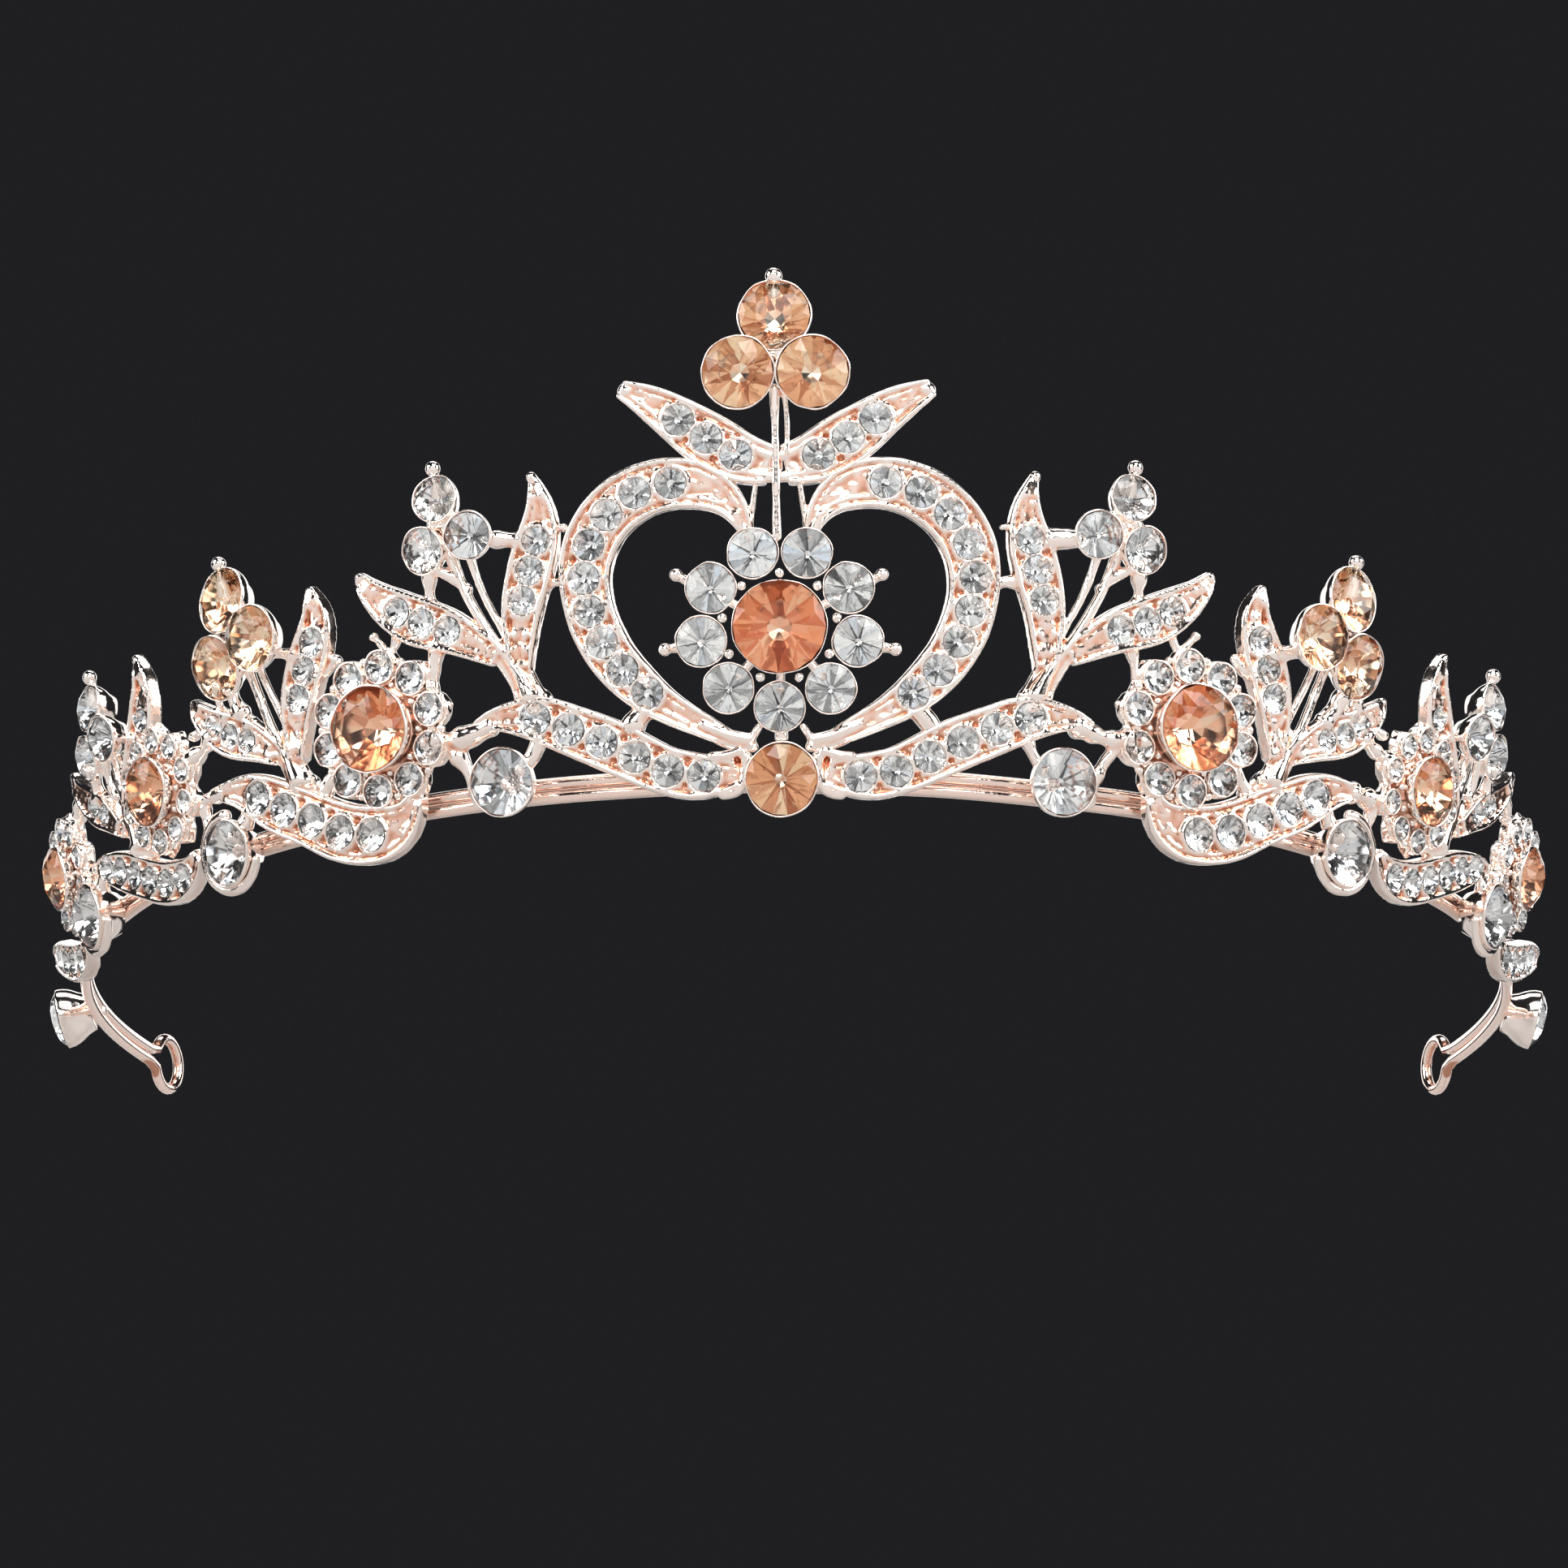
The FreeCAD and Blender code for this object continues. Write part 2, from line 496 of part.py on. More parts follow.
add_node("rosette_centre_stones", centre_stones)
add_node("rosette_petal_stones", petal_stones)
clear = [cluster_seats(BERRIES[number], side) for number in (0, 2) for side in both]
add_node("berry_stones_clear", [at(stone_shape["stone_berry"], place)
                                for places in clear for place in places])
add_node("berry_stones_champagne", [at(stone_shape["stone_third"], place)
                                    for side in both for place in cluster_seats(BERRIES[1], side)])
add_node("drop_stones", [at(stone_shape["stone_drop"], seat(side * along, up, size["drop_cup_height"]))
                         for along, up in DROPS for side in both])

# Band: two parallel strands that run into a ring at each end
strand_radius = size["panel_radius"] - size["band_setback"]
sweep = math.degrees(2 * size["band_reach"] / size["panel_radius"])
strands = []
for name, level in (("lower", -0.5), ("upper", 0.5)):
    strand = bound("Part::Torus", f"band_strand_{name}", Radius2="Dimensions.wire_radius",
                   Radius1="Dimensions.panel_radius - Dimensions.band_setback",
                   Angle3="360 * Dimensions.band_reach / (pi * Dimensions.panel_radius)")
    height = BAND_CENTRE + ABOUT_Z * (level * size["strand_spacing"])
    strand.Placement = FreeCAD.Placement(height, FreeCAD.Rotation(ABOUT_Z, -90 - sweep / 2))
    strands.append(strand)
loops = []
for name, side in SIDES:
    ring = bound("Part::Torus", f"end_loop_{name}", Radius1="Dimensions.loop_radius",
                 Radius2="Dimensions.wire_radius")
    reach = size["band_reach"] + size["loop_radius"]
    turn = side * reach / size["panel_radius"]
    radial = Vector(math.sin(turn), -math.cos(turn), 0)
    ring.Placement = FreeCAD.Placement(BAND_CENTRE + radial * strand_radius,
                                       FreeCAD.Rotation(ABOUT_Z, radial))
    loops.append(ring)
band = doc.addObject("Part::MultiFuse", "band_wire")
band.Shapes = strands + loops
band.Label = "band_wire"
nodes["band_wire"] = band
doc.recompute()

cups_on_band = [at(cup_shape["drop"], seat(side * along, up, size["drop_cup_height"]))
                for along, up in DROPS for side in both]
cups_on_band.append(at(cup_shape["base"], seat(*BASE, size["drop_cup_height"])))
solder_foot = -size["band_setback"] - 0.2
joints = []
for along in SOLDER:
    for side in (both if along else [1]):
        pad = Part.makeCone(size["solder_radius"], 0.8 * size["solder_radius"], -solder_foot)
        place = seat(side * along, 0, solder_foot)
        joints.append(at(pad, place).cut([band.Shape] + cups_on_band))
add_node("solder_joints", [solid for joint in joints for solid in joint.Solids])

# ---------------------------------------------------------------- checks and export

doc.recompute()
failed = [item.Label for item in doc.Objects if {"Invalid", "Error"} & set(item.State)]
if failed:
    raise SystemExit(f"failed objects: {failed}")
os.makedirs("parts", exist_ok=True)
whole = FreeCAD.BoundBox()
for label, feature in nodes.items():
    shape = feature.Shape
    if shape.isNull() or not shape.isValid() or not shape.Solids:
        raise SystemExit(f"{label} is not a valid solid")
    whole.add(shape.BoundBox)
for label, feature in nodes.items():
    feature.Shape.exportStep(f"parts/{label}.step")
print(f"{len(nodes)} sub-parts, box {whole.XMin:.2f} {whole.XMax:.2f}  {whole.YMin:.2f} {whole.YMax:.2f}"
      f"  {whole.ZMin:.2f} {whole.ZMax:.2f}")
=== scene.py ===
"""Bridal tiara: cast rose-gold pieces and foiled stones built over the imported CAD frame.

Lengths are millimetres until a mesh is finished, when they become metres. Places on the leaning
panel are given as along (round the band from the middle of the front), up and out, as in the CAD.
"""
import bpy
import math
import numpy as np
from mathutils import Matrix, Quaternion, Vector


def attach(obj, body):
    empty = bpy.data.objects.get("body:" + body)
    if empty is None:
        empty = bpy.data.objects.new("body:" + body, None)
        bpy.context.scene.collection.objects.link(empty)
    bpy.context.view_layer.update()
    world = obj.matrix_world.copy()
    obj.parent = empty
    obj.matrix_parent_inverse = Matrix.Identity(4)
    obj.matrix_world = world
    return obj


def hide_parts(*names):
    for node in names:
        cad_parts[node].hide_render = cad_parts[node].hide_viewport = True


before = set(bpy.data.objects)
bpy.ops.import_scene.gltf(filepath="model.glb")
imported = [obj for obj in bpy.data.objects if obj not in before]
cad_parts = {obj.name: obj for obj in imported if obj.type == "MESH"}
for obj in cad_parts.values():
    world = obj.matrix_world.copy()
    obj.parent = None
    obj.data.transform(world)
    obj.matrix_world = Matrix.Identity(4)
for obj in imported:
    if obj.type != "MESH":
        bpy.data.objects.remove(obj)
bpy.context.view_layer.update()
random = np.random.default_rng(11)
MM = 0.001

# ---------------------------------------------------------------- the leaning panel

PANEL_RADIUS = 74.0
LEAN = math.radians(14.5)
DRIFT = -0.015
BAND_CENTRE = np.array((0.0, 30.49, 5.18))
UPWARDS = np.array((0.0, 0.0, 1.0))
BAND_RADIUS = 72.4
SIDES = (("left", -1), ("right", 1))

# Step along a channel, points across it, step along a stem, voxel edge of the melted castings, and the
# least thickness of a channel's bed
CHANNEL_STEP, CHANNEL_COLUMNS = 0.14, 45
STEM_STEP = 0.15
VOXEL = 0.15
THINNEST = 0.3


def panel(along, up):
    """Points of the castings' back faces, with the directions along, up and out of the panel."""
    turn = np.asarray(along, float) / PANEL_RADIUS
    radial = np.stack((np.sin(turn), -np.cos(turn), 0 * turn), -1)
    tangent = np.stack((np.cos(turn), np.sin(turn), 0 * turn), -1)
    rise = UPWARDS * math.cos(LEAN) + radial * math.sin(LEAN)
    normal = radial * math.cos(LEAN) - UPWARDS * math.sin(LEAN)
    point = BAND_CENTRE + radial * PANEL_RADIUS + rise * np.asarray(up, float)[..., None]
    return point, tangent, rise, normal


def spot(along, up, out=0.0):
    point, tangent, rise, normal = panel(along, up)
    return point + normal * np.asarray(out, float)[..., None]


def unit(rows):
    return rows / np.linalg.norm(rows, axis=-1, keepdims=True)


def smooth_line(points, step):
    """Natural cubic curve through the rows of points, sampled at even steps of its length."""
    points = np.array(points, float)
    knots = np.concatenate(([0.0], np.cumsum(np.linalg.norm(np.diff(points[:, :2], axis=0), axis=1))))
    gaps = np.diff(knots)
    count = len(points)
    system, target = np.zeros((count, count)), np.zeros((count, points.shape[1]))
    system[0, 0] = system[-1, -1] = 1.0
    for i in range(1, count - 1):
        system[i, i - 1:i + 2] = gaps[i - 1], 2 * (gaps[i - 1] + gaps[i]), gaps[i]
        target[i] = 6 * ((points[i + 1] - points[i]) / gaps[i]
                         - (points[i] - points[i - 1]) / gaps[i - 1])
    bend = np.linalg.solve(system, target)

    def value(t):
        i = np.clip(np.searchsorted(knots, t, side="right") - 1, 0, count - 2)
        a, b, h = (knots[i + 1] - t)[:, None], (t - knots[i])[:, None], gaps[i][:, None]
        return (bend[i] * a ** 3 / (6 * h) + bend[i + 1] * b ** 3 / (6 * h)
                + (points[i] / h - bend[i] * h / 6) * a + (points[i + 1] / h - bend[i + 1] * h / 6) * b)

    fine_t = np.linspace(0, knots[-1], 400)
    fine = value(fine_t)
    lengths = np.concatenate(([0.0], np.cumsum(np.linalg.norm(np.diff(fine[:, :2], axis=0), axis=1))))
    steps = max(6, int(round(lengths[-1] / step)))
    return value(np.interp(np.linspace(0, lengths[-1], steps + 1), lengths, fine_t))


def value_noise(points, scale, seed):
    """Smooth noise from -1 to 1 at each point, with features about as wide as scale."""
    spread = points / scale + seed * 17.31
    cell = np.floor(spread).astype(np.int64)
    part = spread - cell
    part = part * part * (3 - 2 * part)
    total = np.zeros(len(points))
    for corner in range(8):
        offset = np.array([(corner >> axis) & 1 for axis in range(3)])
        # A spatial hash gives each corner of the grid its own fixed value
        x, y, z = (cell + offset).T
        code = (x * 73856093) ^ (y * 19349663) ^ (z * 83492791)
        code = ((code ^ (code >> 13)) * 1274126177) & 0xFFFFFFFF
        weight = np.prod(np.where(offset == 1, part, 1 - part), axis=1)
        total += weight * (((code ^ (code >> 16)) & 0xFFFF) / 32767.5 - 1.0)
    return total


# ---------------------------------------------------------------- shells

def lofted(rings, closed=False):
    """Closed shell through rings of points: (points, quads, end caps)."""
    rings = np.asarray(rings, float)
    rows, columns = rings.shape[:2]
    index = np.arange(rows * columns).reshape(rows, columns)
    start = index if closed else index[:-1]
    after = np.roll(index, -1, axis=0) if closed else index[1:]
    quads = np.stack((start, np.roll(start, -1, axis=1), np.roll(after, -1, axis=1), after), -1)
    caps = [] if closed else [index[0][::-1].tolist(), index[-1].tolist()]
    return rings.reshape(-1, 3), quads.reshape(-1, 4).tolist() + caps


def tube(points, radii, sides=12, closed=False):
    """Round tube along points in space, with a radius for each point."""
    points = np.asarray(points, float)
    radii = np.broadcast_to(radii, len(points))
    if closed:
        heading = unit(np.roll(points, -1, axis=0) - np.roll(points, 1, axis=0))
    else:
        heading = unit(np.gradient(points, axis=0))
    aside = np.cross(heading[0], (0.31, 0.52, 0.79))
    rings = []
    for here, ahead, radius in zip(points, heading, radii):
        aside = unit(aside - ahead * np.dot(aside, ahead))
        other = np.cross(ahead, aside)
        turn = np.linspace(0, 2 * math.pi, sides, endpoint=False)[:, None]
        rings.append(here + radius * (np.cos(turn) * aside + np.sin(turn) * other))
    return lofted(rings, closed)


def axes_for(axis):
    """Two directions square to an axis: roughly along the band, then roughly up the panel."""
    across = unit(np.cross(UPWARDS, axis))
    return across, np.cross(axis, across)


def lathe(profile, centre, axis, sides=40, wobble=0.0, seed=1):
    """Turned shell from (radius, height) points, about an axis through centre."""
    x, y = axes_for(axis)
    turn = np.linspace(0, 2 * math.pi, sides, endpoint=False)
    ring = np.cos(turn)[:, None] * x + np.sin(turn)[:, None] * y
    uneven = 1 + wobble * value_noise(ring * 2.0 + centre, 0.9, seed)[:, None]
    return lofted([centre + ring * uneven * max(radius, 0.004) + axis * height
                   for radius, height in profile])


def lump(centre, radius, seed, squash=(1.0, 1.0, 1.0), rough=0.18):
    """Uneven blob of cast metal or solder."""
    levels = np.linspace(-math.pi / 2, math.pi / 2, 11)[1:-1]
    turn = np.linspace(0, 2 * math.pi, 14, endpoint=False)
    rings = [[(math.cos(a) * math.cos(b), math.cos(a) * math.sin(b), math.sin(a)) for b in turn]
             for a in levels]
    rings = np.array(rings)
    swell = 1 + rough * value_noise(rings.reshape(-1, 3) * radius + centre, radius * 0.9, seed)
    return lofted(centre + rings * swell.reshape(rings.shape[:2])[..., None] * radius * np.array(squash))


# ---------------------------------------------------------------- finished pieces

def mesh_from(name, shells):
    points, faces, base = [], [], 0
    for shell_points, shell_faces in shells:
        points.append(shell_points)
        faces += [[base + corner for corner in face] for face in shell_faces]
        base += len(shell_points)
    mesh = bpy.data.meshes.new(name)
    mesh.from_pydata(np.concatenate(points).tolist(), [], faces)
    mesh.validate()
    return mesh


def mesh_points(mesh, what="co"):
    values = np.zeros(len(mesh.vertices) * 3, np.float32)
    mesh.vertices.foreach_get(what, values)
    return values.reshape(-1, 3).astype(float)


def neighbour_means(mesh):
    """Function that averages a value over each vertex's neighbours."""
    edges = np.zeros(len(mesh.edges) * 2, np.int32)
    mesh.edges.foreach_get("vertices", edges)
    first, second = edges.reshape(-1, 2).T
    count = len(mesh.vertices)
    degree = np.bincount(first, minlength=count) + np.bincount(second, minlength=count)

    def mean(values):
        columns = values.reshape(count, -1).T
        sums = [np.bincount(first, weights=c[second], minlength=count)
                + np.bincount(second, weights=c[first], minlength=count) for c in columns]
        return (np.array(sums) / np.maximum(degree, 1)).T.reshape(values.shape)
    return mean


def fused(name, shells, voxel):
    """Overlapping shells melted into one skin, as a casting is."""
    rough = bpy.data.objects.new(name, mesh_from(name, shells))
    bpy.context.scene.collection.objects.link(rough)
    remesh = rough.modifiers.new("melt", "REMESH")
    remesh.mode = "VOXEL"
    remesh.voxel_size = voxel
    whole = bpy.data.meshes.new_from_object(rough.evaluated_get(bpy.context.evaluated_depsgraph_get()))
    bpy.data.objects.remove(rough)
    return whole


def cast_skin(mesh, relax, pitting, seed):
    """Eases the voxel steps, then gives the skin the uneven surface of a casting."""
    points = mesh_points(mesh)
    mean = neighbour_means(mesh)
    for _ in range(relax):
        # The second, smaller step gives back most of the size that the first one takes
        points += 0.55 * (mean(points) - points)
        points -= 0.25 * (mean(points) - points)
    mesh.vertices.foreach_set("co", points.astype(np.float32).ravel())
    mesh.update()
    normals = mesh_points(mesh, "normal")
    uneven = 0.6 * value_noise(points, 1.3, seed) + 0.4 * value_noise(points, 0.55, seed + 3)
    points += normals * (pitting * uneven)[:, None]
    mesh.vertices.foreach_set("co", points.astype(np.float32).ravel())
    mesh.update()


def mark_hollows(mesh):
    """Stores how far each vertex lies below (+) or above (-) the smoothed skin, in tenths of a mm, for
    the metals' painted shade.
    """
    points = mesh_points(mesh)
    normals = mesh_points(mesh, "normal")
    mean = neighbour_means(mesh)
    eased = points
    for _ in range(14):
        eased = mean(eased)
    depth = np.einsum("ij,ij->i", eased - points, normals)
    for _ in range(2):
        depth = mean(depth)
    layer = mesh.attributes.new("hollow", "FLOAT", "POINT")
    layer.data.foreach_set("value", (depth * 10).astype(np.float32))


def finish_piece(name, meshes, node, materials):
    """Joins finished meshes (mm) into one piece that stands for a CAD node."""
    piece = bpy.data.objects.new(name, meshes[0])
    bpy.context.scene.collection.objects.link(piece)
    if len(meshes) > 1:
        others = [bpy.data.objects.new(name + "_part", mesh) for mesh in meshes[1:]]
        for other in others:
            bpy.context.scene.collection.objects.link(other)
        with bpy.context.temp_override(active_object=piece, selected_editable_objects=[piece] + others):
            bpy.ops.object.join()
    mesh = piece.data
    mesh.vertices.foreach_set("co", (mesh_points(mesh) * MM).astype(np.float32).ravel())
    mesh.update()
    mesh.name = name
    if not mesh.materials:
        for material in materials:
            mesh.materials.append(material)
    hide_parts(node)
    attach(piece, "root")
    return piece


def casting(name, node, shells, crisp=(), relax=2, pitting=0.035, voxel=VOXEL, seed=5):
    """Cast rose-gold piece: shells are melted together, crisp ones keep their turned shape."""
    meshes = []
    if shells:
        body = fused(name, shells, voxel)
        cast_skin(body, relax, pitting, seed)
        mark_hollows(body)
        meshes.append(body)
    if crisp:
        turned = mesh_from(name + "_turned", crisp)
        mark_hollows(turned)
        meshes.append(turned)
    for mesh in meshes:
        mesh.shade_smooth()
    return finish_piece(name, meshes, node, [rose_gold])


# ---------------------------------------------------------------- materials

def new_material(name):
    material = bpy.data.materials.new(name)
    material.use_nodes = True
    nodes, links = material.node_tree.nodes, material.node_tree.links
    shader = nodes["Principled BSDF"]
    return material, nodes, links, shader


def noise_node(nodes, links, scale, detail=3.0):
    place = nodes.new("ShaderNodeTexCoord")
    noise = nodes.new("ShaderNodeTexNoise")
    noise.inputs["Scale"].default_value = scale
    noise.inputs["Detail"].default_value = detail
    links.new(place.outputs["Object"], noise.inputs["Vector"])
    return noise


def ramp_node(nodes, stops):
    ramp = nodes.new("ShaderNodeValToRGB")
    while len(ramp.color_ramp.elements) < len(stops):
        ramp.color_ramp.elements.new(0.5)
    for element, (place, colour) in zip(ramp.color_ramp.elements, stops):
        element.position = place
        element.color = (*colour, 1.0)
    return ramp


# How much of the metal's colour comes from its hollows, where painted shade darkens it, and from its
# blotches, and the even part
HOLLOW_SHADE_SHARE, BLOTCH_SHARE, EVEN_SHARE = 0.60, 0.44, 0.18


def metal(name, stops, roughness, bump, grain=2600.0):
    """Plated metal with painted shade: dark copper in its hollows, paler on its raised edges, finely
    uneven all over.
    """
    material, nodes, links, shader = new_material(name)
    shader.inputs["Metallic"].default_value = 1.0
    # The hollow attribute paints shade into the colour: the deeper a hollow, the darker and more coppery
    hollow = nodes.new("ShaderNodeAttribute")
    hollow.attribute_name = "hollow"
    blotch = noise_node(nodes, links, 700.0)
    spread = nodes.new("ShaderNodeMath")
    spread.operation = "MULTIPLY_ADD"
    spread.inputs[1].default_value = HOLLOW_SHADE_SHARE
    spread.inputs[2].default_value = EVEN_SHARE
    links.new(hollow.outputs["Fac"], spread.inputs[0])
    mixed = nodes.new("ShaderNodeMath")
    mixed.operation = "MULTIPLY_ADD"
    mixed.inputs[1].default_value = BLOTCH_SHARE
    links.new(blotch.outputs["Fac"], mixed.inputs[0])
    links.new(spread.outputs[0], mixed.inputs[2])
    ramp = ramp_node(nodes, stops)
    links.new(mixed.outputs[0], ramp.inputs["Fac"])
    links.new(ramp.outputs["Color"], shader.inputs["Base Color"])
    fine = noise_node(nodes, links, grain, 4.0)
    dull = nodes.new("ShaderNodeMapRange")
    dull.inputs["To Min"].default_value = roughness[0]
    dull.inputs["To Max"].default_value = roughness[1]
    links.new(mixed.outputs[0], dull.inputs["Value"])
    links.new(dull.outputs["Result"], shader.inputs["Roughness"])
    relief = nodes.new("ShaderNodeBump")
    relief.inputs["Strength"].default_value = bump
    relief.inputs["Distance"].default_value = 0.0001
    links.new(fine.outputs["Fac"], relief.inputs["Height"])
    links.new(relief.outputs["Normal"], shader.inputs["Normal"])
    return material


def crown_glass(name, colour, ior=1.38):
    """Clear or tinted glass of a stone's crown, with the faintest wear."""
    material, nodes, links, shader = new_material(name)
    shader.inputs["Transmission Weight"].default_value = 1.0
    shader.inputs["IOR"].default_value = ior
    shade = noise_node(nodes, links, 300.0)
    ramp = ramp_node(nodes, ((0.3, tuple(0.96 * part for part in colour)), (0.7, colour)))
    links.new(shade.outputs["Fac"], ramp.inputs["Fac"])
    links.new(ramp.outputs["Color"], shader.inputs["Base Color"])
    haze = nodes.new("ShaderNodeMapRange")
    haze.inputs["To Min"].default_value = 0.0
    haze.inputs["To Max"].default_value = 0.03
    links.new(shade.outputs["Fac"], haze.inputs["Value"])
    links.new(haze.outputs["Result"], shader.inputs["Roughness"])
    return material


def foil(name, stops, dullness=(0.06, 0.16)):
    """Mirrored back of a stone, each facet with its own painted reflection, from dark to bright."""
    material, nodes, links, shader = new_material(name)
    shader.inputs["Metallic"].default_value = 1.0
    # The facet attribute paints reflections into the colour: dark and bright facets as the stone would
    # mirror its surroundings
    facet = nodes.new("ShaderNodeAttribute")
    facet.attribute_name = "facet"
    ramp = ramp_node(nodes, stops)
    links.new(facet.outputs["Fac"], ramp.inputs["Fac"])
    links.new(ramp.outputs["Color"], shader.inputs["Base Color"])
    speck = noise_node(nodes, links, 1500.0)
    dull = nodes.new("ShaderNodeMapRange")
    dull.inputs["To Min"].default_value = dullness[0]
    dull.inputs["To Max"].default_value = dullness[1]
    links.new(speck.outputs["Fac"], dull.inputs["Value"])
    links.new(dull.outputs["Result"], shader.inputs["Roughness"])
    return material


# Each metal's ramp runs from pale on raised edges to dark copper, the painted shade of its hollows; the
# blotches move it at random as tone
rose_gold = metal("rose_gold_cast", (
    (0.08, (1.0, 0.90, 0.84)), (0.36, (1.0, 0.79, 0.69)), (0.60, (0.95, 0.56, 0.42)),
    (0.88, (0.54, 0.23, 0.14))), (0.10, 0.28), 0.20)
wire_metal = metal("rose_gold_wire", (
    (0.10, (1.0, 0.80, 0.71)), (0.55, (0.93, 0.63, 0.52)), (0.85, (0.55, 0.27, 0.18))),
    (0.10, 0.26), 0.12)
solder_metal = metal("rose_gold_solder", (
    (0.10, (0.97, 0.82, 0.76)), (0.50, (0.85, 0.62, 0.53)), (0.80, (0.42, 0.24, 0.17))),
    (0.24, 0.48), 0.45, 1700.0)

# Foil ramps run from dark to bright facets as painted reflections; the clear foil's bluish top stop is a
# painted glint of dispersed light
CLEAR = {"crown": crown_glass("clear_crown", (1.0, 1.0, 1.0)), "slot": "clear_stone",
         "foil": foil("clear_foil", ((0.0, (0.12, 0.12, 0.13)), (0.32, (0.51, 0.52, 0.52)),
                                     (0.6, (0.95, 0.96, 0.96)), (0.88, (1.0, 1.0, 0.98)),
                                     (0.97, (0.85, 0.91, 0.97))))}
CHAMPAGNE = {"crown": crown_glass("champagne_crown", (1.0, 0.94, 0.84)), "slot": "champagne_stone",
             "foil": foil("champagne_foil", ((0.0, (0.46, 0.22, 0.13)), (0.33, (0.82, 0.52, 0.38)),
                                             (0.65, (0.97, 0.72, 0.55)), (0.95, (1.0, 0.90, 0.78))),
                          (0.09, 0.18))}
PEACH = {"crown": crown_glass("peach_crown", (1.0, 0.84, 0.73)), "slot": "peach_stone",
         "foil": foil("peach_foil", ((0.0, (0.55, 0.25, 0.16)), (0.33, (0.86, 0.49, 0.35)),
                                     (0.65, (0.97, 0.64, 0.48)), (0.95, (1.0, 0.86, 0.74))),
                      (0.07, 0.16))}
SALMON = {"crown": PEACH["crown"], "slot": "peach_stone",
          "foil": foil("salmon_foil", ((0.0, (0.60, 0.26, 0.15)), (0.33, (0.92, 0.52, 0.36)),
                                       (0.65, (1.0, 0.66, 0.48)), (0.95, (1.0, 0.86, 0.72))),
                       (0.09, 0.18))}


# ---------------------------------------------------------------- stones

def stones_in(node):
    """Centre, axis and diameter (mm) of every stone in a CAD node, in the order they lie in it."""
    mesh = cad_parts[node].data
    points = mesh_points(mesh) / MM
    keys, same = np.unique(np.round(points, 3), axis=0, return_inverse=True)
    label = np.arange(len(keys))
    edges = np.zeros(len(mesh.edges) * 2, np.int32)
    mesh.edges.foreach_get("vertices", edges)
    first, second = same.ravel()[edges.reshape(-1, 2)].T
    while True:
        lowest = np.minimum(label[first], label[second])
        before = label.copy()
        np.minimum.at(label, first, lowest)
        np.minimum.at(label, second, lowest)
        label = label[label]
        if np.array_equal(label, before):
            break
    found = []
    for group in np.unique(label):
        corners = keys[label == group]
        middle = corners.mean(axis=0)
        # A stone is shallower than it is wide, so its axis is the direction of least spread
        spread = np.linalg.eigh(np.cov((corners - middle).T))
        axis = spread[1][:, 0]
        radial = middle - BAND_CENTRE
        axis = axis if np.dot(axis, radial * (1, 1, 0)) > 0 else -axis
        heights = (corners - middle) @ axis
        offset = (corners - middle) - heights[:, None] * axis
        radii = np.linalg.norm(offset, axis=1)
        diameter = 2 * radii.max()
        girdle = heights[radii > 0.49 * diameter].mean()
        found.append((middle + axis * girdle, axis, diameter))
    return found


# Tangent of the angle at which a stone's back facets leave the girdle
BACK_SLOPE = 0.869


def gem(centre, axis, diameter, depth, turn, tilt):
    """Round brilliant: (points, faces, how many of the faces are the crown's, painted reflection shade
    of each).
    """
    x, y = axes_for(axis)
    axis = unit(axis + tilt[0] * x + tilt[1] * y)
    x, y = axes_for(axis)

    def ring(count, radius, height, shift=0.0):
        angles = turn + (np.arange(count) + shift) * 2 * math.pi / count
        return (centre + diameter * (radius * (np.cos(angles)[:, None] * x
                + np.sin(angles)[:, None] * y) + height * axis))

    # Table, kites, the girdle's two edges, the ends of the lower facets and the tip
    points = np.concatenate((ring(8, 0.27, 0.16), ring(8, 0.40, 0.105, 0.5), ring(16, 0.5, 0.02),
                             ring(16, 0.5, -0.02),
                             ring(8, 0.557 - depth / BACK_SLOPE, 0.03 - depth, 0.5),
                             (centre - diameter * depth * axis)[None]))
    table, kite, rim, base, lower, tip = 0, 8, 16, 32, 48, 56
    crown = [[table + i for i in range(8)]]
    for i in range(8):
        n, p = (i + 1) % 8, (2 * i + 1) % 16
        crown.append([table + i, kite + i, table + n])
        crown.append([kite + i, rim + 2 * i, rim + p])
        crown.append([kite + i, rim + p, rim + (2 * i + 2) % 16])
        crown.append([table + n, kite + i, rim + (2 * i + 2) % 16, kite + n])
    for i in range(16):
        crown.append([rim + i, base + i, base + (i + 1) % 16, rim + (i + 1) % 16])
    back, painted_reflections = [], [0.5] * len(crown)
    for i in range(8):
        n = (i + 1) % 8
        back.append([base + 2 * i, lower + i, base + (2 * i + 1) % 16])
        back.append([base + (2 * i + 1) % 16, lower + i, base + (2 * i + 2) % 16])
        back.append([base + (2 * i + 2) % 16, lower + i, lower + n])
        back.append([lower + i, tip, lower + n])
        # Painted reflections: long bright facets with narrow dark arrows between them
        dark = random.uniform(0.0, 0.5) if random.uniform() < 0.75 else random.uniform(0.5, 1.0)
        painted_reflections += [random.uniform(0.15, 1.0), random.uniform(0.4, 1.0), dark, random.uniform(0.3, 1.0)]
    return points, crown + back, len(crown), painted_reflections


